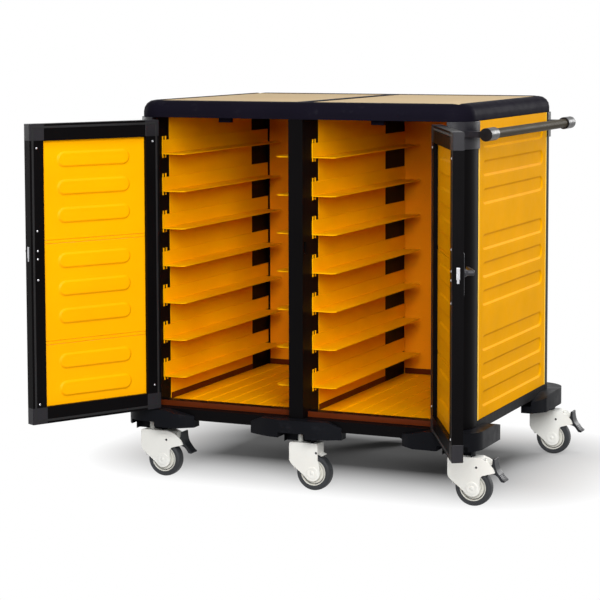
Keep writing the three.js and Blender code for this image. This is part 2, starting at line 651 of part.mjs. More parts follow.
function centreBumper(sideY) {
  const plan = new THREE.Shape();
  plan.moveTo(-BUMPER_HALF, FACE_Y - BUMPER_INSIDE);
  plan.lineTo(-BUMPER_HALF, FACE_Y + BUMPER_EDGE);
  plan.bezierCurveTo(-BUMPER_HALF / 2, FACE_Y + BUMPER_OUT, -BUMPER_HALF / 2, FACE_Y + BUMPER_OUT, 0,
    FACE_Y + BUMPER_OUT);
  plan.bezierCurveTo(BUMPER_HALF / 2, FACE_Y + BUMPER_OUT, BUMPER_HALF / 2, FACE_Y + BUMPER_OUT,
    BUMPER_HALF, FACE_Y + BUMPER_EDGE);
  plan.lineTo(BUMPER_HALF, FACE_Y - BUMPER_INSIDE);
  plan.closePath();
  const slope = BUMPER_SLOPE;
  const profile = polygon([
    [-BUMPER_HALF - 1, BUMPER_Z - 1], [BUMPER_HALF + 1, BUMPER_Z - 1],
    [BUMPER_HALF + 1, BUMPER_TIP], [BUMPER_HALF - slope, BUMPER_TOP + 1],
    [slope - BUMPER_HALF, BUMPER_TOP + 1], [-BUMPER_HALF - 1, BUMPER_TIP],
  ]);
  const body = upright(plan, BUMPER_Z, BUMPER_TOP).intersect(across(profile, 0, BODY_D));
  const whole = cut(body.add(stemPad(0, STEM_Y)), baseRoom(), stemRoom(0, STEM_Y));
  return mirrored(whole, 1, sideY);
}

function mirrored(manifold, sideX, sideY) {
  let turned = manifold;
  if (sideX < 0) turned = turned.mirror([1, 0, 0]);
  if (sideY < 0) turned = turned.mirror([0, 1, 0]);
  return turned;
}

// ---- casters ------------------------------------------------------------------------------------

// Drawn about the stem's axis, with the floor at z = 0 and the wheel trailing towards +X.
function forkOutline(braked) {
  const top = PAD_Z - GAP;
  const front = -HOUSING_FRONT;
  const shape = new THREE.Shape();
  if (braked) {
    shape.moveTo(HOOD_REAR, HOOD_TIP_Z);
    shape.bezierCurveTo(HOOD_REAR - 2, 108, 84, top - 4, HOUSING_REAR, top);
  } else {
    shape.moveTo(HOUSING_REAR, HOOD_Z);
    shape.lineTo(HOUSING_REAR, top);
  }
  shape.lineTo(front + HOUSING_EDGE_R, top);
  shape.quadraticCurveTo(front, top, front, top - HOUSING_EDGE_R);
  shape.lineTo(front, HOUSING_KNEE_Z);
  const diagonal = BOSS_R * Math.SQRT1_2;
  shape.bezierCurveTo(front, 70, 2, 58, TRAIL - diagonal, WHEEL_R - diagonal);
  shape.absarc(TRAIL, WHEEL_R, BOSS_R, Math.PI * 1.25, Math.PI * 2.12, false);
  shape.bezierCurveTo(66, 70, 62, 80, braked ? HOOD_OPEN : HOUSING_REAR, HOOD_Z);
  shape.closePath();
  return shape;
}

function casterFork(braked) {
  const housing = across(forkOutline(braked), -FORK_HALF, FORK_HALF);
  const room = WHEEL_R + WHEEL_CLEAR;
  const slot = FORK_SLOT;
  const wheelRoom = join(
    rodY(room, TRAIL, WHEEL_R, -slot, slot),
    box(TRAIL - room, TRAIL + 2 * room, -slot, slot, 0, WHEEL_R),
    box(TRAIL + room / 2, TRAIL + 2 * room, -slot, slot, 0, WHEEL_R + room / 2),
  );
  const axle = rodY(AXLE_R, TRAIL, WHEEL_R, -FORK_HALF - 3, FORK_HALF + 3, 16);
  const stem = rodZ(STEM_R, 0, 0, PAD_Z - 2, BASE_Z - 2 * GAP);
  const fork = join(cut(housing, wheelRoom), axle, stem);
  if (!braked) return fork;
  const pedalRoom = box(HOOD_OPEN, 2 * HOOD_REAR, -slot, slot, 0, PAD_Z);
  const pin = rodY(PEDAL_PIN_R, ...PEDAL_PIVOT, -slot - 1, slot + 1, 16);
  return cut(fork, pedalRoom).add(pin);
}

function wheelHub() {
  const half = HUB_W / 2;
  const disc = rodY(HUB_R, 0, 0, -half, half, 24);
  const dish = [-1, 1].map((side) => {
    const ys = [side * (half - DISH_D), side * (half + 1)].sort((a, b) => a - b);
    const boss = rodY(HUB_R - DISH_IN, 0, 0, ys[0] - 1, ys[1] + 1, 12);
    return cut(rodY(HUB_R - DISH_OUT, 0, 0, ...ys, 16), boss);
  });
  return cut(disc, dish, rodY(AXLE_R + GAP, 0, 0, -half - 1, half + 1, 16));
}

function tyre() {
  const half = TYRE_W / 2;
  const edge = TYRE_EDGE;
  const inner = HUB_R + GAP;
  const profile = [
    [inner, -half], [WHEEL_R - edge, -half], [WHEEL_R, edge - half],
    [WHEEL_R, half - edge], [WHEEL_R - edge, half], [inner, half], [inner, -half],
  ].map(([r, y]) => new THREE.Vector2(r, y));
  return solid(new THREE.LatheGeometry(profile, 32));
}

// rocker between the hood's cheeks: a hub on the pin, an upright tab and a treadle
function brakePedal() {
  const [px, pz] = PEDAL_PIVOT;
  const half = FORK_SLOT - GAP;
  const outline = [
    [0, -8], [12, -8], [23, -13], [36, -29], [42, -28], [44, -22], [28, -4], [20, 6], [14, 28], [9, 28],
    [8, 12], [0, 8],
  ];
  const rocker = across(polygon(outline.map(([x, z]) => [px + x, pz + z])), -half, half);
  const hub = rodY(PEDAL_HUB_R, px, pz, -half, half, 16);
  return cut(join(rocker, hub), rodY(PEDAL_PIN_R + GAP, px, pz, -half - 1, half + 1, 16));
}

// ---- assembly -----------------------------------------------------------------------------------

const cart = new THREE.Group();
const add = (name, shape, look, parent = cart) => parent.add(mesh(name, shape, look));
const SIDES = [['left', -1], ['right', 1]];
const ENDS = [['front', -1], ['rear', 1]];

add('base_frame', baseFrame(), BLACK_METAL);
add('floor_panel', floorPanel(), LINING);
add('top_frame', topFrame(), BLACK);
add('back_panel', backPanel(), LINING);
add('tray_rack_centre', centreRack(), LINING);
add('push_handle_tube', pushHandle(), GREY);

for (const [end, sideY] of ENDS) {
  add(`post_${end}_centre`, centrePost(sideY), BLACK_METAL);
  add(`bumper_${end}_centre`, centreBumper(sideY), BLACK);
  for (const [hand, sideX] of SIDES) {
    add(`post_${end}_${hand}`, cornerPost(sideX, sideY), BLACK_METAL);
    add(`corner_fitting_${end}_${hand}`, cornerFitting(sideX, sideY), BLACK);
    add(`bumper_${end}_${hand}`, cornerBumper(sideX, sideY), BLACK);
  }
}

for (const [hand, side] of SIDES) {
  add(`top_panel_${hand}`, topPanel(side), CREAM);
  add(`side_panel_${hand}`, sidePanel(side), YELLOW);
  add(`tray_rack_${hand}`, outerRack(side), LINING);

  const hingeLine = new THREE.Group();
  hingeLine.position.set(side * DOOR_EDGE_X, HINGE_Y, 0);
  add(`hinge_${hand}`, hinge(side), BLACK_METAL, hingeLine);
  cart.add(hingeLine);

  const door = new THREE.Group();
  door.rotation.z = side * THREE.MathUtils.degToRad(side < 0 ? LEFT_OPEN : RIGHT_OPEN);
  add(`door_frame_${hand}`, doorFrame(side), BLACK_METAL, door);
  add(`door_panel_${hand}`, doorPanel(side), YELLOW, door);
  add(`latch_bolt_${hand}`, latchBolt(side), STEEL, door);
  const lever = new THREE.Group();
  lever.position.set(-side * (DOOR_FAR - STILE_W / 2), 0, LATCH_Z);
  add(`door_lever_${hand}`, doorLever(side), BLACK, lever);
  door.add(lever);
  hingeLine.add(door);
}

const CASTERS = [
  ['front_left', -STEM_X, -STEM_Y, true], ['front_centre', 0, -STEM_Y, false],
  ['front_right', STEM_X, -STEM_Y, true], ['rear_left', -STEM_X, STEM_Y, true],
  ['rear_centre', 0, STEM_Y, false], ['rear_right', STEM_X, STEM_Y, true],
];
for (const [place, x, y, braked] of CASTERS) {
  const caster = new THREE.Group();
  caster.position.set(x, y, 0);
  add(`caster_fork_${place}`, casterFork(braked), WHITE, caster);
  if (braked) add(`brake_pedal_${place}`, brakePedal(), BLACK, caster);
  const wheel = new THREE.Group();
  wheel.position.set(TRAIL, 0, WHEEL_R);
  add(`wheel_hub_${place}`, wheelHub(), WHITE, wheel);
  add(`tyre_${place}`, tyre(), RUBBER, wheel);
  caster.add(wheel);
  cart.add(caster);
}

// origin under the middle of the whole box, on the floor
cart.updateMatrixWorld(true);
const whole = new THREE.Box3().setFromObject(cart, true);
const middle = whole.getCenter(new THREE.Vector3());
cart.position.set(-middle.x, -middle.y, -whole.min.z);
cart.updateMatrixWorld(true);

export default cart;
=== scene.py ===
# Enclosed meal tray cart: the finish of every surface and the fine detail, built on the CAD frame.
# Shapes are drawn in millimetres, each in the frame of the piece that carries it, and scaled to metres.

import json
import math
import bmesh
import bpy
from mathutils import Matrix, Vector
from mathutils.geometry import tessellate_polygon

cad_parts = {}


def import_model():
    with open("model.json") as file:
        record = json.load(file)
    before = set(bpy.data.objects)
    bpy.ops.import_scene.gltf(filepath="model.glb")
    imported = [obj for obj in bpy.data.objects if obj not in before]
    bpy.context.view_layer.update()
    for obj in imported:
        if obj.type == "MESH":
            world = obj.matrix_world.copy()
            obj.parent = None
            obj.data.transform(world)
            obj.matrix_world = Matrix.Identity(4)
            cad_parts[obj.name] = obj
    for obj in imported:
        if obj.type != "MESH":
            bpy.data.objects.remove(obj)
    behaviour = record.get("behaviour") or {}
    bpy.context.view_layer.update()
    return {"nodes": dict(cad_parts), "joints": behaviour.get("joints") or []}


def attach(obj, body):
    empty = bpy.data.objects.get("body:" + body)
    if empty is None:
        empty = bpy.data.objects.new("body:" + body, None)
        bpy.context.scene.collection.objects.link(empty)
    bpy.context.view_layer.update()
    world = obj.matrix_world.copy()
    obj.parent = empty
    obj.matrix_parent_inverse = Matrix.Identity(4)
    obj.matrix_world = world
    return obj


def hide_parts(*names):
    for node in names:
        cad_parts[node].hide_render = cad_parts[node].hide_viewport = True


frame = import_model()

MM = 0.001
SCENE = bpy.context.scene
JOINTS = {joint["name"]: joint for joint in frame["joints"]}
CORNERS = ("front_left", "front_right", "rear_left", "rear_right")
CASTERS = ("front_left", "front_centre", "front_right", "rear_left", "rear_centre", "rear_right")
HANDS = (("left", -1), ("right", 1))

# ---- places -------------------------------------------------------------------------------------


def node_box(name, place=Matrix.Identity(4)):
    """Lowest and highest corner of a CAD node in the frame of place, in millimetres."""
    inverse = place.inverted()
    points = [inverse @ v.co / MM for v in frame["nodes"][name].data.vertices]
    return [Vector([pick(p[i] for p in points) for i in range(3)]) for pick in (min, max)]


front_swivel = Vector(JOINTS["caster_swivel_front_centre"]["pos_m"])
rear_swivel = Vector(JOINTS["caster_swivel_rear_centre"]["pos_m"])
BODY = Matrix.Translation(((front_swivel.x + rear_swivel.x) / 2, (front_swivel.y + rear_swivel.y) / 2, 0))


def door_place(hand, side):
    """Frame of a door: on its hinge axis, turned from shut to where the photograph shows it."""
    joint = JOINTS[f"door_hinge_{hand}"]
    x, y, _ = joint["pos_m"]
    opened = math.radians(-joint["range_deg"][0])
    return Matrix.Translation((x, y, 0)) @ Matrix.Rotation(side * opened, 4, "Z")


def caster_place(place):
    """Frame of a caster: on its swivel axis at the floor, with the wheel towards +X."""
    x, y, _ = JOINTS[f"caster_swivel_{place}"]["pos_m"]
    return Matrix.Translation((x, y, 0))


DOOR = {hand: door_place(hand, side) for hand, side in HANDS}
CASTER = {place: caster_place(place) for place in CASTERS}

# ---- looks --------------------------------------------------------------------------------------


def linear(value):
    """Linear light of an sRGB value from 0 to 255."""
    value /= 255
    return value / 12.92 if value <= 0.04045 else ((value + 0.055) / 1.055) ** 2.4


def colour(red, green, blue):
    return (linear(red), linear(green), linear(blue), 1)


class Look:
    """A material under construction."""

    def __init__(self, name):
        self.material = bpy.data.materials.new(name)
        self.material.use_nodes = True
        self.nodes = self.material.node_tree.nodes
        self.links = self.material.node_tree.links
        self.surface = self.nodes["Principled BSDF"]
        self.place = self.add("ShaderNodeTexCoord").outputs["Object"]

    def add(self, kind, links=(), **settings):
        node = self.nodes.new(kind)
        for key, value in settings.items():
            setattr(node, key, value)
        for socket, source in dict(links).items():
            if isinstance(source, bpy.types.NodeSocket):
                self.links.new(source, node.inputs[socket])
            else:
                node.inputs[socket].default_value = source
        return node

    def stretched(self, scale):
        return self.add("ShaderNodeMapping", {"Vector": self.place, "Scale": scale}).outputs[0]

    def noise(self, scale, detail, stretch=None, rough=0.5):
        place = self.stretched(stretch) if stretch else self.place
        links = {"Vector": place, "Scale": scale, "Detail": detail, "Roughness": rough}
        return self.add("ShaderNodeTexNoise", links).outputs["Fac"]

    def spread(self, source, low, high, start=0.3, end=0.7):
        links = {"Value": source, "From Min": start, "From Max": end, "To Min": low, "To Max": high}
        return self.add("ShaderNodeMapRange", links).outputs["Result"]

    def mix(self, factor, one, other):
        node = self.add("ShaderNodeMix", data_type="RGBA")
        for socket, source in ((node.inputs[0], factor), (node.inputs[6], one), (node.inputs[7], other)):
            if isinstance(source, bpy.types.NodeSocket):
                self.links.new(source, socket)
            else:
                socket.default_value = source
        return node.outputs[2]

    def bump(self, height, depth, strength, under=None):
        links = {"Height": height, "Distance": depth, "Strength": strength}
        if under:
            links["Normal"] = under
        return self.add("ShaderNodeBump", links).outputs["Normal"]

    def set(self, **inputs):
        for key, source in inputs.items():
            socket = self.surface.inputs[key.replace("_", " ")]
            if isinstance(source, bpy.types.NodeSocket):
                self.links.new(source, socket)
            else:
                socket.default_value = source
        return self


def tinted(rgba, factor):
    """The colour made lighter or darker by a factor."""
    return (*(min(1, c * factor) for c in rgba[:3]), 1)


def scuffed(look, tone, other):
    """Tone with sparse, faint scuffs of another tone."""
    scuffs = look.spread(look.noise(26, 7, rough=0.7), 0, 0.14, 0.6, 0.75)
    return look.mix(scuffs, tone, other)


def moulded(name, rgba, roughness, specular, mottle=0.06, grain=1400, depth=0.00004, wear=None, far=None):
    """Moulded plastic: a fine grain, slow drifts of tone and gloss that varies.

    Wear is the tone of its faint scuffs, and far is a place along X and the tone past it.
    """
    look = Look(name)
    drift = look.spread(look.noise(5, 4), 0, 1)
    tone = look.mix(drift, tinted(rgba, 1 - mottle), tinted(rgba, 1 + mottle))
    speck = look.spread(look.noise(260, 2), 0, 1, 0.62, 0.8)
    tone = look.mix(speck, tone, tinted(rgba, 1 - 2 * mottle))
    if wear:
        tone = scuffed(look, tone, wear)
    if far:
        past, other = far
        across_x = look.add("ShaderNodeSeparateXYZ", {0: look.place}).outputs[0]
        tone = look.mix(look.spread(across_x, 0, 1, past, past + 0.002), tone, other)
    gloss = look.spread(look.noise(38, 5), roughness - 0.07, roughness + 0.07)
    grained = look.bump(look.noise(grain, 2), depth, 0.5)
    return look.set(
        Base_Color=tone, Roughness=gloss, Specular_IOR_Level=specular, Normal=grained,
    ).material


def extruded(name, rgba, roughness, specular, stretch=(1, 1, 0.02)):
    """Coated extruded metal: die lines along its length, a faint drift of tone and scuffs."""
    look = Look(name)
    drift = look.spread(look.noise(4, 3), 0, 1)
    tone = look.mix(drift, tinted(rgba, 0.85), tinted(rgba, 1.2))
    tone = scuffed(look, tone, tinted(rgba, 3))
    lines = look.noise(420, 3, stretch=stretch)
    gloss = look.spread(lines, roughness - 0.06, roughness + 0.08)
    fine = look.bump(look.noise(1800, 2), 0.00003, 0.4, look.bump(lines, 0.00004, 0.3))
    return look.set(
        Base_Color=tone, Roughness=gloss, Specular_IOR_Level=specular, Normal=fine,
    ).material


def laminate(name, rgba):
    """Satin pale laminate with a soft wave in its face and faint wiping marks."""
    look = Look(name)
    cloud = look.spread(look.noise(7, 5), 0, 1)
    tone = look.mix(cloud, tinted(rgba, 0.97), tinted(rgba, 1.02))
    fleck = look.spread(look.noise(650, 2), 0, 1, 0.6, 0.75)
    tone = look.mix(fleck, tone, tinted(rgba, 0.97))
    wiped = look.spread(look.noise(14, 6, stretch=(1, 5, 1)), 0.56, 0.68)
    wave = look.bump(look.noise(9, 2), 0.0002, 0.1)
    return look.set(
        Base_Color=tone, Roughness=wiped, Specular_IOR_Level=0.02, Normal=wave,
    ).material


def rubber(name, rgba):
    """Soft tyre rubber: matt, with dusty patches and a fine tooth."""
    look = Look(name)
    dust = look.spread(look.noise(24, 6, rough=0.65), 0, 0.5, 0.45, 0.75)
    tone = look.mix(dust, rgba, tinted(rgba, 2.2))
    tooth = look.bump(look.noise(1300, 3), 0.00008, 0.6)
    return look.set(
        Base_Color=tone, Roughness=look.spread(dust, 0.55, 0.85, 0, 0.5), Specular_IOR_Level=0.35,
        Normal=tooth,
    ).material


def metal(name, rgba, roughness):
    """Bright plated steel with fine turning marks."""
    look = Look(name)
    marks = look.noise(700, 3, stretch=(1, 1, 0.15))
    tone = look.mix(look.spread(look.noise(30, 4), 0, 1), tinted(rgba, 0.88), rgba)
    gloss = look.spread(marks, roughness - 0.08, roughness + 0.1)
    return look.set(
        Base_Color=tone, Metallic=1.0, Roughness=gloss, Normal=look.bump(marks, 0.00003, 0.3),
    ).material


# After its name and colour, each finish has its roughness and its specular level.

RUBBED = colour(70, 70, 76)
KNOB_START = BODY.translation.x + 0.512
KNOB_TONE = colour(16, 15, 18)

YELLOW = moulded("yellow_panel", colour(250, 172, 0), 0.42, 0.06, mottle=0.04)
SIDE_YELLOW = moulded("side_yellow", colour(248, 172, 0), 0.46, 0.008, mottle=0.05)
# lighter yellow of the side walls' upright beads: painted highlight on their edges
HIGHLIGHT_YELLOW = moulded("edge_highlight_yellow", colour(255, 206, 60), 0.35, 0.15, mottle=0.03)
LINING = moulded("lining", colour(255, 180, 0), 0.42, 0.08)
# darker, redder copy of the lining, for the back wall: painted shade deep inside the bays
SHADED_BACK_LINING = moulded("back_lining_painted_shade", colour(246, 150, 8), 0.42, 0.08, mottle=0.07)
# dark brown of the floor's edge strips and sills: painted shade
SHADE_STRIP_BROWN = moulded("shade_strip_brown", colour(88, 34, 7), 0.4, 0.1, mottle=0.1, grain=900, depth=0.00005)
FRAME_BLACK = extruded("frame_black", colour(9, 8, 9), 0.36, 0.03)
RIM_BLACK = moulded(
    "rim_black", colour(20, 18, 27), 0.4, 0.003, mottle=0.1, grain=1100, depth=0.00002, wear=RUBBED,
)
BUMPER_BLACK = moulded(
    "bumper_black", colour(15, 16, 20), 0.4, 0.05, mottle=0.12, grain=900, depth=0.00008, wear=RUBBED,
)
FITTING_GREY = moulded(
    "fitting_grey", colour(30, 29, 34), 0.36, 0.25, mottle=0.1, grain=1000, depth=0.00005, wear=RUBBED,
    far=(KNOB_START, KNOB_TONE),
)
LEVER_GREY = moulded(
    "lever_grey", colour(34, 34, 38), 0.4, 0.35, mottle=0.1, grain=1000, depth=0.00005, wear=RUBBED,
)
CAP_GREY = moulded(
    "cap_grey", colour(30, 29, 33), 0.45, 0.2, mottle=0.16, grain=1000, depth=0.00006, wear=RUBBED,
)
SEAL_BLACK = rubber("seal_black", colour(12, 12, 14))
CREAM = laminate("top_cream", colour(208, 184, 146))
TUBE_GREY = extruded("tube_grey", colour(60, 54, 42), 0.4, 0.012, stretch=(1, 0.02, 1))
STEEL = metal("steel", colour(190, 190, 194), 0.3)
NYLON = moulded("white_nylon", colour(236, 236, 231), 0.38, 0.3, mottle=0.02, grain=900, depth=0.00005)
HUB_WHITE = moulded("hub_white", colour(214, 213, 205), 0.42, 0.3, mottle=0.03, grain=900, depth=0.00005)
TYRE = rubber("tyre_rubber", colour(42, 44, 47))
PEDAL_BLACK = moulded(
    "pedal_black", colour(24, 26, 30), 0.45, 0.25, mottle=0.1, grain=900, depth=0.00008, wear=RUBBED,
)

SLOT_LOOKS = {
    "yellow_panel": (YELLOW, SIDE_YELLOW, HIGHLIGHT_YELLOW),
    "lining": (LINING, SHADED_BACK_LINING, SHADE_STRIP_BROWN),
    "black_metal": (FRAME_BLACK,),
    "black_plastic": (RIM_BLACK, BUMPER_BLACK, FITTING_GREY, LEVER_GREY, CAP_GREY, SEAL_BLACK, PEDAL_BLACK),
    "top_cream": (CREAM,),
    "grey_tube": (TUBE_GREY,),
    "steel": (STEEL,),
    "white_plastic": (NYLON, HUB_WHITE),
    "tyre": (TYRE,),
}
SLOTS = {look: slot for slot, looks in SLOT_LOOKS.items() for look in looks}

# ---- shading and modifiers ----------------------------------------------------------------------


def shading_group(name, angle):
    """Geometry nodes that shade smooth everywhere except across edges sharper than the angle."""
    group = bpy.data.node_groups.new(name, "GeometryNodeTree")
    group.interface.new_socket("Geometry", in_out="INPUT", socket_type="NodeSocketGeometry")
    group.interface.new_socket("Geometry", in_out="OUTPUT", socket_type="NodeSocketGeometry")
    add, join = group.nodes.new, group.links.new
    source, result = add("NodeGroupInput"), add("NodeGroupOutput")
    faces, edges = add("GeometryNodeSetShadeSmooth"), add("GeometryNodeSetShadeSmooth")
    turn, sharp = add("GeometryNodeInputMeshEdgeAngle"), add("FunctionNodeCompare")
    faces.domain, edges.domain = "FACE", "EDGE"
    sharp.data_type, sharp.operation = "FLOAT", "LESS_EQUAL"
    sharp.inputs["B"].default_value = math.radians(angle)
    clear = add("GeometryNodeSetMeshNormal")
    clear.mode = "SHARPNESS"
    clear.inputs["Remove Custom"].default_value = True
    join(source.outputs[0], clear.inputs["Mesh"])
    join(clear.outputs["Mesh"], faces.inputs["Geometry"])
    join(faces.outputs[0], edges.inputs["Geometry"])
    join(turn.outputs["Unsigned Angle"], sharp.inputs["A"])
    join(sharp.outputs["Result"], edges.inputs["Shade Smooth"])
    join(edges.outputs[0], result.inputs[0])
    return group


EDGE_ANGLE = 40                      # an edge that turns more is rounded
FLAT_ANGLE = 0.6                     # faces that turn less are merged before the rounding
WELD_REACH = 0.00001
SMOOTH = shading_group("smooth_by_angle", 38)


def soften(obj, width, segments, angle=EDGE_ANGLE):
    """Rounds the sharp edges of a piece by a width in millimetres and shades the rest smooth."""
    if width:
        bevel = obj.modifiers.new("edges", "BEVEL")
        bevel.width = width * MM
        bevel.segments = segments
        bevel.limit_method = "ANGLE"
        bevel.angle_limit = math.radians(angle)
        bevel.use_clamp_overlap = True
    shade = obj.modifiers.new("shading", "NODES")
    shade.node_group = SMOOTH
    weigh = obj.modifiers.new("normals", "WEIGHTED_NORMAL")
    weigh.keep_sharp = True


def dress(name, material, width, segments=2):
    """Gives a CAD node its material and fine rounded edges."""
    node = frame["nodes"][name]
    node.data.materials.clear()
    node.data.materials.append(material)
    weld = node.modifiers.new("weld", "WELD")
    weld.merge_threshold = WELD_REACH
    flat = node.modifiers.new("flat", "DECIMATE")
    flat.decimate_type = "DISSOLVE"
    flat.angle_limit = math.radians(FLAT_ANGLE)
    soften(node, width, segments)


def piece(name, bm, material, body, place=BODY, width=0.0, segments=2, angle=EDGE_ANGLE, replaces=()):
    """Turns a mesh in millimetres into a piece that rides on a body."""
    bmesh.ops.recalc_face_normals(bm, faces=bm.faces)
    mesh = bpy.data.meshes.new(name)
    bm.to_mesh(mesh)
    bm.free()
    mesh.transform(place @ Matrix.Scale(MM, 4))
    obj = bpy.data.objects.new(name, mesh)
    SCENE.collection.objects.link(obj)
    mesh.materials.append(material)
    soften(obj, width, segments, angle)
    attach(obj, body)
    if replaces:
        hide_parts(*replaces)


# ---- shapes -------------------------------------------------------------------------------------


def block(bm, xa, xb, ya, yb, za, zb):
    """Box between two corners, given in any order."""
    size = Vector((abs(xb - xa), abs(yb - ya), abs(zb - za)))
    middle = Vector((xa + xb, ya + yb, za + zb)) / 2
    bmesh.ops.create_cube(bm, size=1, matrix=Matrix.Translation(middle) @ Matrix.Diagonal((*size, 1)))


def loop_verts(bm, points):
    return [bm.verts.new(p) for p in points]


def bridge(bm, one, other):
    """Faces between two closed rings of as many points."""
    for i in range(len(one)):
        j = (i + 1) % len(one)
        bm.faces.new((one[i], one[j], other[j], other[i]))


def prism(bm, outline, low, high, lay):
    """Outline extruded from low to high; lay turns (u, v, depth) into a point."""
    rings = [loop_verts(bm, [lay(u, v, depth) for u, v in outline]) for depth in (low, high)]
    bridge(bm, *rings)
    for ring in rings:
        bm.faces.new(ring)


def across(u, v, depth):
    """Lays an outline in X and Z, with its depth along Y."""
    return (u, depth, v)


def along(u, v, depth):
    """Lays an outline in Y and Z, with its depth along X."""
    return (depth, u, v)


ON_AXIS = 1e-6


def lathe(bm, profile, steps, place=Matrix.Identity(4)):
    """Profile of (radius, height) turned about Z, with both ends on the axis or joined up."""
    rings = []
    for radius, height in profile:
        if radius < ON_AXIS:
            rings.append([bm.verts.new(place @ Vector((0, 0, height)))])
            continue
        ring = []
        for i in range(steps):
            angle = 2 * math.pi * i / steps
            point = Vector((radius * math.cos(angle), radius * math.sin(angle), height))
            ring.append(bm.verts.new(place @ point))
        rings.append(ring)
    pairs = list(zip(rings, rings[1:]))
    if profile[0][0] > ON_AXIS:
        pairs.append((rings[-1], rings[0]))
    for one, other in pairs:
        for i in range(steps):
            j = (i + 1) % steps
            corners = [one[i % len(one)], one[j % len(one)], other[j % len(other)], other[i % len(other)]]
            unique = list(dict.fromkeys(corners))
            if len(unique) > 2:
                bm.faces.new(unique)


def arc(cx, cy, radius, start, end, steps):
    """Points of an arc between two angles in degrees, both ends included."""
    turn = [math.radians(start + (end - start) * i / steps) for i in range(steps + 1)]
    return [(cx + radius * math.cos(a), cy + radius * math.sin(a)) for a in turn]


def bezier(a, b, c, d, steps):
    """Points of a cubic curve after its start."""
    points = []
    for i in range(1, steps + 1):
        t = i / steps
        weights = ((1 - t) ** 3, 3 * t * (1 - t) ** 2, 3 * t * t * (1 - t), t ** 3)
        points.append(tuple(sum(w * p[k] for w, p in zip(weights, (a, b, c, d))) for k in (0, 1)))
    return points


FACING = {  # turns +Z into a direction
    "+y": Matrix.Rotation(-math.pi / 2, 4, "X"),
    "-y": Matrix.Rotation(math.pi / 2, 4, "X"),
}


def screw(bm, x, y, z, facing, radius=3.2, height=1.6):
    """Domed screw head with a round socket."""
    socket = radius * 0.38
    profile = [
        (0, height * 0.3), (socket, height * 0.3), (socket * 1.1, height), (radius * 0.7, height * 0.85),
        (radius * 0.93, height * 0.45), (radius, 0), (0, -0.2),
    ]
    lathe(bm, profile, 14, Matrix.Translation((x, y, z)) @ FACING[facing])


# ---- pressed panels -----------------------------------------------------------------------------

RIB_RISE = 4.0
RIB_SLOPE = 7.0
RIB_HALF = 22.5          # half of a rib's height
RIB_STEPS = 8            # chords in each round end
# Each step across a rib's edge: share of the slope's width inwards, and share of the rise.
RIB_PROFILE = ((-1.2, 0), (0, 0), (0.22, 0.1), (0.5, 0.5), (0.78, 0.9), (1, 1), (1.25, 1))
TILE_EDGE = 1.2                      # bevel round a tile
MODULE_H = 272                       # height of one wall module
RIB_DROPS = (75, 150, 225)           # rib's lower edge below its module's top
RIB_CLEAR = (6, 4)                   # least room below and above a rib in its tile
DOOR_RIB_INSET = 46                  # end of a rib from the edge of its panel
SIDE_RIB_INSET = 33
STRIP_H = 9                          # joint strip between two modules
STRIP_SUNK = 0.8                     # strip's face behind the tiles' faces
JOINT = 0.5                          # gap on each side of the strip


def stadium(cx, cz, half, radius):
    """Oblong with round ends, as points in X and Z."""
    return arc(cx + half, cz, radius, -90, 90, RIB_STEPS) + arc(cx - half, cz, radius, 90, 270, RIB_STEPS)


def ribbed_tile(bm, xa, xb, za, zb, back, face, rise, ribs, lay):
    """Plate from back to face with bevelled edges; its ribs (middle x, middle z, length) rise or sink."""
    out = 1 if face > back else -1
    edge = TILE_EDGE
    outer = [(xa, za), (xb, za), (xb, zb), (xa, zb)]
    inner = [(xa + edge, za + edge), (xb - edge, za + edge), (xb - edge, zb - edge), (xa + edge, zb - edge)]
    rings = [
        loop_verts(bm, [lay(u, v, back) for u, v in outer]),
        loop_verts(bm, [lay(u, v, face - out * edge) for u, v in outer]),
        loop_verts(bm, [lay(u, v, face) for u, v in inner]),
    ]
    bm.faces.new(rings[0])
    bridge(bm, rings[0], rings[1])
    bridge(bm, rings[1], rings[2])
    flat = list(rings[2])
    polygons = [[Vector((u, v, 0)) for u, v in inner]]
    for cx, cz, length in ribs:
        levels = []
        half = length / 2 - RIB_HALF
        for inset, share in RIB_PROFILE:
            outline = stadium(cx, cz, half, RIB_HALF - inset * RIB_SLOPE)
            levels.append(loop_verts(bm, [lay(u, v, face + out * share * rise) for u, v in outline]))
        for one, other in zip(levels, levels[1:]):
            bridge(bm, one, other)
        bm.faces.new(levels[-1])
        hole = stadium(cx, cz, half, RIB_HALF - RIB_PROFILE[0][0] * RIB_SLOPE)
        polygons.append([Vector((u, v, 0)) for u, v in hole])
        flat.extend(levels[0])
    for triple in tessellate_polygon(polygons):
        bm.faces.new([flat[i] for i in triple])


def panel_tiles(bm, xs, zs, top, inset, back, face, rise, lay, seamed=True):
    """Ribbed tiles stacked down from the top, with a narrow strip at each joint between two modules."""
    xa, xb = xs
    za, zb = zs
    tops = (top, top - MODULE_H, top - 2 * MODULE_H)
    joints = [z for z in tops[1:] if seamed and za + STRIP_H < z]
    below, above = RIB_CLEAR
    edges = [zb, *joints, za]
    for upper, lower in zip(edges, edges[1:]):
        high = upper - (STRIP_H / 2 + JOINT if upper != zb else 0)
        low = lower + (STRIP_H / 2 + JOINT if lower != za else 0)
        ribs = []
        for middle in (module - drop + RIB_HALF for module in tops for drop in RIB_DROPS):
            if low + RIB_HALF + below < middle < high - RIB_HALF - above:
                ribs.append(((xa + xb) / 2, middle, xb - xa - 2 * inset))
        ribbed_tile(bm, xa, xb, low, high, back, face, rise, ribs, lay)
    for z in joints:
        sunk = face + math.copysign(STRIP_SUNK, back - face)
        ribbed_tile(bm, xa, xb, z - STRIP_H / 2, z + STRIP_H / 2, back, sunk, 0, [], lay)


# ---- doors --------------------------------------------------------------------------------------

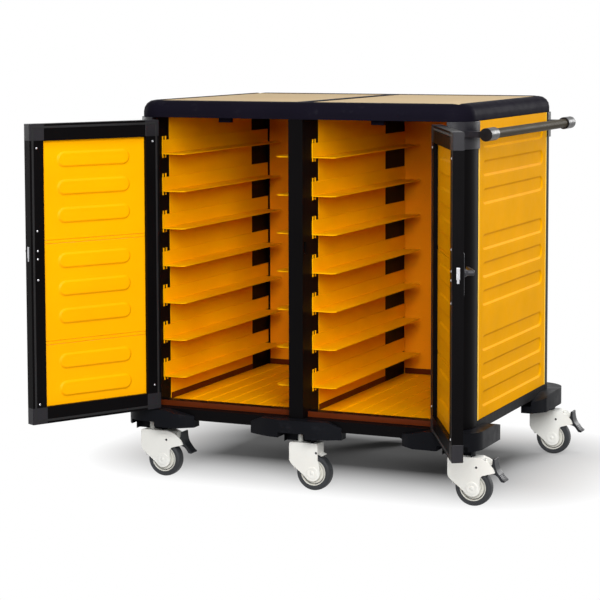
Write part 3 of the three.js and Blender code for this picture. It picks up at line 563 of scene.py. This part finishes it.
DOOR_T = 28
STILE = 42                           # width of the door frame's members
HINGE_GAP = 1.1                      # hinge axis to the near edge of the frame
GROOVE = 6                           # depth of the sheet's edge in the frame's groove
CAP = 45                             # side of a corner cap
CAP_PROUD = (0.35, 0.5, 0.3)         # how far a cap stands out past the frame along X, Y and Z
SEAL_INSET = 9
SEAL_HALF = 3
SEAL_PROUD = 1.0
FREE_STILE_SCREWS = (9, 19)          # above the lower cap, and below the upper one
HINGE_STILE_SCREWS = (23, 13)
LATCH_SCREWS = (57, 4, -18, -74)     # heights above the latch
FACE_PROUD = 0.6                     # latch's face plate
FACE_HALF = 3
FACE_ENDS = (-24, 12)
PLATE_T = 2.6                        # escutcheon
PLATE_R = 13
PLATE_ENDS = (-44, 38)               # middles of its round ends above the latch
PLATE_SCREWS = (40, -46)
LEVER_REACH = 82
LEVER_T = 8
LEVER_ROOT_R = 7
LEVER_TIP_R = 5.5
SPINDLE = ((0, 0), (9, 0), (10, 1.5), (10, 5), (8, 7), (7, 9), (7, 21), (0, 21))
HINGE_FOOTS = (290, 555, 820)        # lower end of each hinge
LEAF_LIFT = 55.3                     # door leaf's foot above the post leaf's
LEAF_SCREWS = (14, 41)               # heights above a leaf's foot
LEAF_DEPTH = 3.2                     # leaf's face ahead of the door's outer face
DOOR_LEAF_SCREW = (11.5, -0.2)       # from the hinge axis, and behind the leaf's face
POST_LEAF_SCREW = (-12.5, 0.7)


class Door:
    """Measures of a door in its own frame: shut, with the hinge axis along Z."""

    def __init__(self, hand):
        self.hand = hand
        self.place = DOOR[hand]
        low, high = node_box(f"door_frame_{hand}", self.place)
        self.foot, self.top = low.z, high.z
        self.inner = high.y
        self.outer = high.y - DOOR_T
        self.far = max(low.x, high.x, key=abs)
        self.way = math.copysign(1, self.far)        # along X, from the hinge to the free edge
        self.near = self.way * HINGE_GAP
        self.free_stile = self.far - self.way * STILE / 2
        self.hinge_stile = self.near + self.way * STILE / 2
        self.latch = JOINTS[f"door_lever_turn_{hand}"]["pos_m"][2] / MM

    def piece(self, name, bm, material, *finish, **settings):
        piece(f"{name}_{self.hand}", bm, material, f"door_{self.hand}", self.place, *finish, **settings)


def door_sheet(door):
    """Ribbed tiles on both faces of one sheet."""
    low, high = node_box(f"door_panel_{door.hand}", door.place)
    outer, inner = low.y, high.y - RIB_RISE
    core = outer + RIB_RISE + 0.6
    sheet = ((low.x, high.x), (low.z, high.z))
    layout = (high.z - GROOVE, DOOR_RIB_INSET + GROOVE)
    bm = bmesh.new()
    panel_tiles(bm, *sheet, *layout, core, outer, -RIB_RISE, across)
    panel_tiles(bm, *sheet, *layout, core + 0.2, inner, RIB_RISE, across)
    door.piece("door_panel_sheet", bm, YELLOW, replaces=[f"door_panel_{door.hand}"])


def door_caps(door):
    """Square caps over the frame's corners."""
    past_x, past_y, past_z = CAP_PROUD
    bm = bmesh.new()
    for x, inward in ((door.far, -door.way), (door.near, door.way)):
        for z, up in ((door.foot, 1), (door.top, -1)):
            xs, zs = (x - inward * past_x, x + inward * CAP), (z - past_z * up, z + CAP * up)
            block(bm, *xs, door.outer - past_y, door.inner + past_y, *zs)
    door.piece("door_corner_caps", bm, CAP_GREY, 2.0, 3)


def door_seal(door):
    """Bulb seal round the inner face."""
    xs = sorted((door.far - door.way * SEAL_INSET, door.near + door.way * SEAL_INSET))
    ys = (door.inner - 0.5, door.inner + SEAL_PROUD)
    zs = (door.foot + SEAL_INSET, door.top - SEAL_INSET)
    bm = bmesh.new()
    for x in xs:
        block(bm, x - SEAL_HALF, x + SEAL_HALF, *ys, *zs)
    for z in zs:
        block(bm, *xs, *ys, z - SEAL_HALF, z + SEAL_HALF)
    door.piece("door_seal", bm, SEAL_BLACK, 0.7, 2)


def door_screws(door):
    """Screws on the inner face, at the corners and behind the latch."""
    low, high = door.foot + CAP, door.top - CAP
    (free_low, free_high), (hinge_low, hinge_high) = FREE_STILE_SCREWS, HINGE_STILE_SCREWS
    bm = bmesh.new()
    for z in (low + free_low, high - free_high, *(door.latch + rise for rise in LATCH_SCREWS)):
        screw(bm, door.free_stile, door.inner, z, "+y")
    for z in (low + hinge_low, high - hinge_high):
        screw(bm, door.hinge_stile, door.inner, z, "+y")
    door.piece("door_screws", bm, STEEL)


def latch_plates(door):
    """Face plate on the free edge, and an escutcheon with its screws on the outer face."""
    proud = door.way * FACE_PROUD
    middle = (door.outer + door.inner) / 2
    zs = [door.latch + end for end in FACE_ENDS]
    bm = bmesh.new()
    block(bm, door.far - proud, door.far + proud, middle - FACE_HALF, middle + FACE_HALF, *zs)
    door.piece("latch_face", bm, STEEL, 0.5, 2)
    low, high = PLATE_ENDS
    ends = arc(0, high, PLATE_R, 0, 180, 12) + arc(0, low, PLATE_R, 180, 360, 12)
    bm = bmesh.new()
    plate = [(door.free_stile + u, door.latch + v) for u, v in ends]
    prism(bm, plate, door.outer - PLATE_T, door.outer + 1, across)
    door.piece("latch_escutcheon", bm, LEVER_GREY, 1.0, 3)
    bm = bmesh.new()
    for rise in PLATE_SCREWS:
        screw(bm, door.free_stile, door.outer - PLATE_T, door.latch + rise, "-y", 2.8)
    door.piece("escutcheon_screws", bm, STEEL)


def lever(door):
    """Lever that points to the hinge, on its spindle."""
    root, height = door.free_stile, door.latch
    low = node_box(f"door_lever_{door.hand}", door.place)[0].y
    half_turn = -door.way * 180
    bm = bmesh.new()
    lathe(bm, SPINDLE, 32, Matrix.Translation((root, door.outer - PLATE_T, height)) @ FACING["-y"])
    outline = arc(root, height, LEVER_ROOT_R, 90, 90 + half_turn, 12)
    outline += arc(root - door.way * LEVER_REACH, height, LEVER_TIP_R, -90, half_turn - 90, 10)
    prism(bm, outline, low, low + LEVER_T, across)
    piece(f"door_lever_grip_{door.hand}", bm, LEVER_GREY, f"lever_{door.hand}", door.place, 2.2, 3,
          replaces=[f"door_lever_{door.hand}"])


def hinge_screws(door):
    """Screws in the hinges' door leaves and, fixed to the body, in their post leaves."""
    leaf = door.outer - LEAF_DEPTH
    (door_x, door_y), (post_x, post_y) = DOOR_LEAF_SCREW, POST_LEAF_SCREW
    moving, fixed = bmesh.new(), bmesh.new()
    for foot in HINGE_FOOTS:
        for rise in LEAF_SCREWS:
            screw(moving, door.way * door_x, leaf + door_y, foot + LEAF_LIFT + rise, "-y", 2.6)
            screw(fixed, door.way * post_x, leaf + post_y, foot + rise, "-y", 2.6)
    door.piece("hinge_screws", moving, STEEL)
    x, y, _ = JOINTS[f"door_hinge_{door.hand}"]["pos_m"]
    piece(f"hinge_post_screws_{door.hand}", fixed, STEEL, "cart_body", Matrix.Translation((x, y, 0)))


for hand, _ in HANDS:
    dress(f"door_frame_{hand}", FRAME_BLACK, 0.8)
    dress(f"hinge_{hand}", FRAME_BLACK, 0.6)
    dress(f"latch_bolt_{hand}", STEEL, 0.8)
    door = Door(hand)
    for make in (door_sheet, door_caps, door_seal, door_screws, latch_plates, lever, hinge_screws):
        make(door)

# ---- casters ------------------------------------------------------------------------------------

TRAIL = 43                           # swivel axis to wheel axis
WHEEL_R = 50
FORK_HALF = 22                       # half of the housing's width
FORK_SLOT = 17.6                     # half of the room between its cheeks
CROWN_HALF = FORK_SLOT + 0.5         # the crown reaches into the cheeks
PEDAL_HALF = FORK_SLOT - 0.4
RIDGES = 4                           # across the pedal's treadle
RIDGE_STEP = (2.8, -3.8)
FORK_FRONT = -25
BOSS_R = 23
HOUSING_TOP = 131.7
HOUSING_REAR = 59                    # rear end of a housing without a brake
HOOD_OPEN = 72                       # start of the hood's underside
HOOD_TIP = (106, 95)
WHEEL_ROOM = 54
RIVET_X, RIVET_Z = 55, 106
PEDAL_X, PEDAL_Z = 88, 100           # axis of the brake pedal

# Turned profiles, as radius and height along the axis: up the stem, out from a cheek, or along the axle.
STEM = ((0, 129), (14, 129), (14, 131.9), (7, 131.9), (7, 169), (0, 169))
BOSS = ((0, -1), (17, -1), (17, 0.7), (15.6, 1.4), (11, 1.4), (10, 0.9), (0, 0.9))
CAP_NUT = ((0, 2.9), (3.5, 2.7), (5.4, 1.8), (5.9, 0.4), (5.9, 0), (0, 0))
DISC_SIDE = (
    (5.6, -14.4), (12, -14.4), (13, -13.6), (14, -13), (22.4, -12), (22.7, -9.4), (24.7, -9.4), (25, -12),
    (28, -12.2), (30, -12), (30.3, -8), (32.9, -8), (33.2, -14.4), (34.8, -15.2), (36, -14.6),
)
# black ring at the floor of the discs' groove: painted shade in the groove
GROOVE_SHADE_SIDE = ((30.5, -8.2), (32.7, -8.2))
TYRE_SIDE = (
    (36.3, -13.5), (37.2, -14.9), (39.5, -15.6), (41.2, -15.2), (42, -15.9), (44.6, -15.9), (45.6, -15),
    (47.6, -13.4), (49.2, -10.6), (49.9, -6),
)
WHEEL_AXIS = Matrix.Translation((TRAIL, 0, WHEEL_R)) @ FACING["+y"]


def hood_curve():
    """Top of the hood over a braked wheel, from its tip forwards, in X and Z."""
    rear_top = (HOUSING_REAR, HOUSING_TOP)
    return [HOOD_TIP] + bezier(HOOD_TIP, (104, 108), (84, HOUSING_TOP - 4), rear_top, 14)


def fork_side(braked):
    """Outline of a cheek, in X and Z."""
    top, front = HOUSING_TOP, FORK_FRONT
    shoulder = ((front + 8, top), (front + 2, top), (front, top - 2), (front, top - 8))
    points = hood_curve() if braked else [(HOUSING_REAR, 85), (HOUSING_REAR, top)]
    points += [shoulder[0]] + bezier(*shoulder, 5)
    reach = BOSS_R * math.sqrt(0.5)
    foot = (TRAIL - reach, WHEEL_R - reach)
    points += [(front, 84)] + bezier((front, 84), (front, 70), (2, 58), foot, 14)
    points += arc(TRAIL, WHEEL_R, BOSS_R, 225, 382, 22)[1:]
    points += bezier(points[-1], (66, 70), (62, 80), (HOOD_OPEN if braked else HOUSING_REAR, 85), 8)
    return points if braked else points[:-1]


def crown_side(braked):
    """Outline of the housing between the cheeks: over the wheel and down its front, in X and Z."""
    top, front = HOUSING_TOP, FORK_FRONT
    rear = [(70, 97), (70, top - 5)] if braked else [(HOUSING_REAR, 101)]
    ahead = [(HOUSING_REAR, top), (front + 8, top), (front, top - 8), (front, 84), (-22, 72), (-14, 64)]
    return rear + ahead + arc(TRAIL, WHEEL_R, WHEEL_ROOM, 172, 60, 22)


def mirrored(side, middle=()):
    """Profile of a wheel's piece from one side through the middle to the other side."""
    return [*side, *middle, *((radius, -height) for radius, height in reversed(side))]


def housing(place, at):
    """White housing of a caster, with its stem, axle bosses and rivets."""
    braked, body = place in CORNERS, f"caster_{place}"
    bm = bmesh.new()
    for low, high in ((-FORK_HALF, -FORK_SLOT), (FORK_SLOT, FORK_HALF)):
        prism(bm, fork_side(braked), low, high, across)
    prism(bm, crown_side(braked), -CROWN_HALF, CROWN_HALF, across)
    piece(f"caster_fork_shell_{place}", bm, NYLON, body, at, 2.0, 3, 35, [f"caster_fork_{place}"])
    bm = bmesh.new()
    lathe(bm, STEM, 32)
    for facing, side in (("-y", -1), ("+y", 1)):
        spot = Matrix.Translation((TRAIL, side * FORK_HALF, WHEEL_R)) @ FACING[facing]
        lathe(bm, BOSS, 40, spot)
        lathe(bm, CAP_NUT, 24, spot)
    piece(f"caster_stem_{place}", bm, NYLON, body, at)
    bm = bmesh.new()
    for facing, side in (("-y", -1), ("+y", 1)):
        screw(bm, RIVET_X, side * FORK_HALF, RIVET_Z, facing, 3.4, 1.2)
    piece(f"caster_rivets_{place}", bm, LEVER_GREY, body, at)


def wheel(place, at):
    """Dished cover discs with a groove darkened by a black ring at its floor, painted shade, and a tyre
    with a raised band on each side wall.
    """
    body = f"wheel_{place}"
    bm = bmesh.new()
    lathe(bm, mirrored(DISC_SIDE), 64, WHEEL_AXIS)
    piece(f"wheel_disc_{place}", bm, HUB_WHITE, body, at, replaces=[f"wheel_hub_{place}"])
    bm = bmesh.new()
    lathe(bm, mirrored(GROOVE_SHADE_SIDE), 64, WHEEL_AXIS)
    piece(f"wheel_groove_shade_{place}", bm, TYRE, body, at)
    bm = bmesh.new()
    lathe(bm, mirrored(TYRE_SIDE, [(WHEEL_R, 0)]), 72, WHEEL_AXIS)
    piece(f"tyre_round_{place}", bm, TYRE, body, at, replaces=[f"tyre_{place}"])


def pedal(place, at):
    """Rocking brake pedal between the hood's cheeks: hub, upright tab and ribbed treadle."""
    bm = bmesh.new()
    outline = arc(0, 0, 8, 90, 250, 12) + bezier((-3, -7.5), (10, -9), (16, -9), (22, -13), 5)
    outline += bezier((22, -13), (28, -18), (31, -25), (34, -28), 5) + [(42, -29), (44, -27.5), (43.5, -24)]
    outline += bezier((43.5, -24), (37, -22), (31, -12), (27, -7), 6)
    outline += bezier((27, -7), (21, 0), (17, 8), (16, 30), 8)
    outline += [(13.5, 31.5), (10.5, 30)] + bezier((10.5, 30), (10, 18), (8, 12), (3, 7.5), 6)
    prism(bm, [(PEDAL_X + x, PEDAL_Z + z) for x, z in outline], -PEDAL_HALF, PEDAL_HALF, across)
    for i in range(RIDGES):
        x, z = PEDAL_X + 31 + RIDGE_STEP[0] * i, PEDAL_Z - 10.5 + RIDGE_STEP[1] * i
        block(bm, x - 0.8, x + 0.8, -14, 14, z - 1.5, z + 0.9)
    piece(f"brake_pedal_shell_{place}", bm, PEDAL_BLACK, f"pedal_{place}", at, 1.0, 3, 35,
          [f"brake_pedal_{place}"])


for place in CASTERS:
    housing(place, CASTER[place])
    wheel(place, CASTER[place])
    if place in CORNERS:
        pedal(place, CASTER[place])

# ---- body ---------------------------------------------------------------------------------------

for name in ("base_frame", "post_front_centre", "post_rear_centre"):
    dress(name, FRAME_BLACK, 0.8)
for place in CORNERS:
    dress(f"post_{place}", FRAME_BLACK, 0.8)
    dress(f"corner_fitting_{place}", FITTING_GREY, 1.2, 3)
    dress(f"bumper_{place}", BUMPER_BLACK, 4.0, 4)
for end in ("front", "rear"):
    dress(f"bumper_{end}_centre", BUMPER_BLACK, 4.0, 4)
dress("top_frame", RIM_BLACK, 1.0)
for hand, _ in HANDS:
    dress(f"top_panel_{hand}", CREAM, 1.5, 3)
    dress(f"tray_rack_{hand}", LINING, 0.8)
dress("tray_rack_centre", LINING, 0.8)
dress("floor_panel", LINING, 0.8)

BEAD_PROUD = 0.9
BEAD_EDGES = (0.5, 7)                # its two sides from the edge of the wall
BACK_LINING_T = 4


def side_wall(hand, side):
    """End wall with ribs pressed into its outer face, and a bead along both upright edges in a lighter
    yellow that is a painted highlight.
    """
    low, high = node_box(f"side_panel_{hand}", BODY)
    outer, inner = (high.x, low.x) if side > 0 else (low.x, high.x)
    bm = bmesh.new()
    ys, zs = (low.y, high.y), (low.z, high.z)
    panel_tiles(bm, ys, zs, high.z, SIDE_RIB_INSET, inner, outer, -RIB_RISE, along, False)
    piece(f"side_panel_sheet_{hand}", bm, SIDE_YELLOW, "cart_body", BODY, replaces=[f"side_panel_{hand}"])
    bm = bmesh.new()
    for y, ahead in ((low.y, 1), (high.y, -1)):
        edges = [y + ahead * edge for edge in BEAD_EDGES]
        block(bm, outer - side, outer + side * BEAD_PROUD, *edges, low.z, high.z)
    # beads in the lighter yellow: painted highlight
    piece(f"side_panel_highlight_beads_{hand}", bm, HIGHLIGHT_YELLOW, "cart_body", BODY, 0.8, 3)


for hand, side in HANDS:
    side_wall(hand, side)


def back_wall():
    """Back panel: plain inside, in a darker, redder copy of the lining that is painted shade deep in the
    bays, with two columns of ribs pressed into its outer face.
    """
    low, high = node_box("back_panel", BODY)
    inside = [(low.x, low.z), (high.x, low.z), (high.x, high.z), (low.x, high.z)]
    bm = bmesh.new()
    prism(bm, inside, low.y, low.y + BACK_LINING_T, across)
    piece("back_panel_lining", bm, SHADED_BACK_LINING, "cart_body", BODY, 0.8, 2)
    back, face, zs = low.y + BACK_LINING_T + 0.2, high.y, (low.z, high.z)
    bm = bmesh.new()
    for xs in ((low.x, -0.3), (0.3, high.x)):
        panel_tiles(bm, xs, zs, high.z, SIDE_RIB_INSET, back, face, -RIB_RISE, across)
    piece("back_panel_sheet", bm, SIDE_YELLOW, "cart_body", BODY, replaces=["back_panel"])


back_wall()


def push_handle():
    """Round tube in place of the handle's faceted one."""
    low, high = node_box("push_handle_tube", BODY)
    radius = (high.z - low.z) / 2
    centre = (low + high) / 2
    bm = bmesh.new()
    lathe(bm, [(0, low.y), (radius, low.y), (radius, high.y), (0, high.y)], 64,
          Matrix.Translation((centre.x, 0, centre.z)) @ FACING["+y"])
    piece("push_handle_round", bm, TUBE_GREY, "cart_body", BODY, replaces=["push_handle_tube"])


push_handle()

# ---- small fittings on the body -----------------------------------------------------------------

SLIDE_REACH = 68                     # wall to the slide's inner edge
SLIDE_WEB = 40                       # height of the web along the wall
SLIDE_T = 3
LEVEL_PITCH = 105
LEVELS = 7
TOP_LEVEL = 905                      # underside of the highest slide
HOOK_W = 6
HOOK_STARTS = (0.5, 17)              # behind the slide's front end
HOOK_SPANS = ((SLIDE_WEB - 1, SLIDE_WEB + 11), (-10, 1))
HOOK_INSET = 0.4                     # hook's faces inside the slide's
CENTRE_HALF = 21.4                   # half of the centre wall
# strips and sills: dark sheets of painted shade where the walls meet the floor and behind the doors
SKIRT_T = 1
SKIRT_TOP, SKIRT_FOOT = 15, -2.2     # above the floor's top face
SKIRT_START = 46                     # behind the slides' front ends
WALL_SKIRT_END = 116                 # ahead of the floor's rear edge
CENTRE_SKIRT_END = 160
BACK_SKIRT_ENDS = (2, 8)             # from the centre wall, and from the outer wall
SILL_AHEAD = 30                      # threshold ahead of the floor's front edge
SILL_T = 0.9
SILL_FOOT, SILL_TOP = -4, 11         # above the shade strips' foot
# black sheet under the floor: painted shade on the floor's underside
UNDER_SHADE_X = (23, 415)
UNDER_SHADE_Z = (-0.8, -0.1)            # from the floor's underside
FITTING_SCREW_X = 452
FITTING_SCREW_DROP = 20
FITTING_PROUD = 2.5                  # screw's seat past the rim's face


def slide_hooks():
    """Pairs of hooks above and below the front end of each slide's web, which hang it on the post."""
    faces = []
    for name, ways in (("tray_rack_left", (1,)), ("tray_rack_centre", (-1, 1)), ("tray_rack_right", (-1,))):
        low, high = node_box(name, BODY)
        for way in ways:
            faces.append(((high.x if way > 0 else low.x) - way * SLIDE_REACH, way))
        front = low.y
    bm = bmesh.new()
    for face, way in faces:
        xs = (face + way * HOOK_INSET, face + way * (SLIDE_T - HOOK_INSET))
        for level in range(LEVELS):
            z = TOP_LEVEL - level * LEVEL_PITCH
            for y in (front + start for start in HOOK_STARTS):
                for za, zb in HOOK_SPANS:
                    block(bm, *xs, y, y + HOOK_W, z + za, z + zb)
    piece("slide_hooks", bm, LINING, "cart_body", BODY, 0.7, 2)


def shade_strips():
    """Dark brown strips where the walls meet the floor and as thresholds behind the doors, painted shade;
    and a black sheet under the floor, painted shade on its underside.
    """
    floor_low, floor_high = node_box("floor_panel", BODY)
    front = node_box("tray_rack_left", BODY)[0].y + SKIRT_START
    wall, centre, back = floor_high.x, CENTRE_HALF, floor_high.y
    wall_strip, centre_strip = wall - SKIRT_T, centre + SKIRT_T
    za, zb = floor_high.z + SKIRT_FOOT, floor_high.z + SKIRT_TOP
    sill, sill_zs = floor_low.y - SILL_AHEAD, (za + SILL_FOOT, za + SILL_TOP)
    back_start, back_end = centre + BACK_SKIRT_ENDS[0], wall - BACK_SKIRT_ENDS[1]
    bm = bmesh.new()
    for side in (-1, 1):
        block(bm, side * wall_strip, side * wall, front, back - WALL_SKIRT_END, za, zb)
        block(bm, side * centre, side * centre_strip, front, back - CENTRE_SKIRT_END, za, zb)
        block(bm, side * back_start, side * back_end, back - SKIRT_T, back, za, zb)
        block(bm, side * centre_strip, side * wall_strip, sill - SILL_T, sill, *sill_zs)
    # brown strips and sills: painted shade
    piece("floor_shade_strips", bm, SHADE_STRIP_BROWN, "cart_body", BODY, 0.4, 2)
    bm = bmesh.new()
    ys, zs = (floor_low.y + 1, -floor_low.y - 1), [floor_low.z + z for z in UNDER_SHADE_Z]
    for side in (-1, 1):
        block(bm, *(side * x for x in UNDER_SHADE_X), *ys, *zs)
    # black sheet: painted shade under the floor
    piece("floor_underside_shade", bm, SEAL_BLACK, "cart_body")


def fitting_screws():
    """One screw in the front or rear face of each corner fitting."""
    half_depth = node_box("top_frame", BODY)[1].y
    post_top = node_box("post_front_centre", BODY)[1].z
    bm = bmesh.new()
    for x in (-1, 1):
        for y, facing in ((-1, "-y"), (1, "+y")):
            spot = (x * FITTING_SCREW_X, y * (half_depth + FITTING_PROUD), post_top - FITTING_SCREW_DROP)
            screw(bm, *spot, facing, 3.6, 1.8)
    piece("fitting_screws", bm, STEEL, "cart_body")


slide_hooks()
shade_strips()
fitting_screws()

# ---- stage, light and camera --------------------------------------------------------------------

FLOOR_REACH = 40
FLOOR_DROP = 0.0005                  # floor below the tyres
FOOTPRINT = (0.40, 0.17, 1)          # half sizes of the box over the floor that stays grey: painted shade round the cart's rendered shadow
SHADOW_BACK = 0.14                   # its middle behind the cart's
FADE = (0.0, 0.4)                    # distance from the footprint over which the floor turns white
WORLD_LIGHT = 0.14


def stage():
    """Floor that shows the cart's shadow near it on a grey that is painted shade, and is plain white
    further out.
    """
    floor_mesh = bpy.data.meshes.new("floor")
    corners = [(x * FLOOR_REACH, y * FLOOR_REACH, 0) for x, y in ((-1, -1), (1, -1), (1, 1), (-1, 1))]
    floor_mesh.from_pydata(corners, [], [(0, 1, 2, 3)])
    floor = bpy.data.objects.new("floor", floor_mesh)
    floor.location.z = -FLOOR_DROP
    SCENE.collection.objects.link(floor)
    look = Look("floor_white_and_painted_shade")
    # the grey floor colour, left showing near the cart, is painted shade that darkens the cart's shadow
    look.set(Base_Color=colour(166, 166, 166), Roughness=0.9, Specular_IOR_Level=0.0)
    glow = look.add("ShaderNodeEmission", {"Color": (1, 1, 1, 1), "Strength": 1.0})
    path = look.add("ShaderNodeLightPath")
    centre = (BODY.translation.x, BODY.translation.y + SHADOW_BACK, 0)
    away = look.add("ShaderNodeNewGeometry").outputs["Position"]
    steps = (("SUBTRACT", centre), ("ABSOLUTE", None), ("SUBTRACT", FOOTPRINT), ("MAXIMUM", (0, 0, 0)))
    for operation, other in steps:
        step = look.add("ShaderNodeVectorMath", {0: away}, operation=operation)
        if other:
            step.inputs[1].default_value = other
        away = step.outputs["Vector"]
    length = look.add("ShaderNodeVectorMath", {0: away}, operation="LENGTH").outputs["Value"]
    fade = look.spread(length, 0.0, 1.0, *FADE)
    seen = look.add("ShaderNodeMath", {0: path.outputs["Is Camera Ray"], 1: path.outputs["Is Glossy Ray"]})
    seen.operation = "MAXIMUM"
    factor = look.add("ShaderNodeMath", {0: fade, 1: seen.outputs[0]}, operation="MULTIPLY")
    shaders = {0: factor.outputs[0], 1: look.surface.outputs[0], 2: glow.outputs[0]}
    blend = look.add("ShaderNodeMixShader", shaders)
    look.links.new(blend.outputs[0], look.nodes["Material Output"].inputs["Surface"])
    floor_mesh.materials.append(look.material)


def world():
    """White surroundings: full white to the camera and in reflections, and a faint light on the rest."""
    made = bpy.data.worlds.new("studio")
    SCENE.world = made
    made.use_nodes = True
    nodes, links = made.node_tree.nodes, made.node_tree.links
    background = nodes["Background"]
    path = nodes.new("ShaderNodeLightPath")
    seen = path.outputs["Is Camera Ray"]
    for ray in ("Is Glossy Ray", "Is Transmission Ray"):
        either = nodes.new("ShaderNodeMath")
        either.operation = "MAXIMUM"
        links.new(seen, either.inputs[0])
        links.new(path.outputs[ray], either.inputs[1])
        seen = either.outputs[0]
    strength = nodes.new("ShaderNodeMapRange")
    strength.inputs["To Min"].default_value = WORLD_LIGHT
    strength.inputs["To Max"].default_value = 1.0
    links.new(seen, strength.inputs["Value"])
    background.inputs["Color"].default_value = (1, 1, 1, 1)
    links.new(strength.outputs["Result"], background.inputs["Strength"])


def softbox(name, spot, aim, size, power):
    """Square area lamp at a spot, aimed at a point, in metres from the middle of the cart's floor."""
    data = bpy.data.lights.new(name, "AREA")
    data.shape = "SQUARE"
    data.size = size
    data.energy = power
    lamp = bpy.data.objects.new(name, data)
    lamp.location = BODY.translation + Vector(spot)
    lamp.rotation_mode = "QUATERNION"
    lamp.rotation_quaternion = (Vector(aim) - Vector(spot)).to_track_quat("-Z", "Y")
    SCENE.collection.objects.link(lamp)


softbox("key", (2.2, -4.7, 2.6), (0, 0, 0.55), 2.6, 300)
softbox("top", (1.5, -1.2, 4.2), (0, 0, 0.4), 1.8, 70)
softbox("rear", (2.8, 4.8, 2.2), (0, 0, 0.6), 2.0, 150)
softbox("left", (-5.2, 0.9, 1.8), (-0.4, 0, 0.6), 1.8, 70)


def camera():
    """The photograph's viewpoint: a 600 x 600 picture with its focal length and centre in pixels."""
    picture, focal, centre_u, centre_v = 600, 2016.5, 294.2, 210.0
    spot = Vector((2.2045, -5.3314, 1.2501))
    yaw, pitch, roll = (math.radians(a) for a in (24.082, 5.091, -0.164))
    data = bpy.data.cameras.new("camera")
    data.sensor_width = 36
    data.lens = focal / picture * data.sensor_width
    data.shift_x = (picture / 2 - centre_u) / picture
    data.shift_y = (centre_v - picture / 2) / picture
    data.clip_end = 100
    cam = bpy.data.objects.new("camera", data)
    turn = Matrix.Rotation(yaw, 4, "Z")
    turn = turn @ Matrix.Rotation(math.pi / 2 - pitch, 4, "X")
    turn = turn @ Matrix.Rotation(roll, 4, "Z")
    cam.matrix_world = Matrix.Translation(BODY.translation + spot) @ turn
    SCENE.collection.objects.link(cam)
    SCENE.camera = cam


stage()
world()
camera()
SCENE.view_settings.view_transform = "Standard"
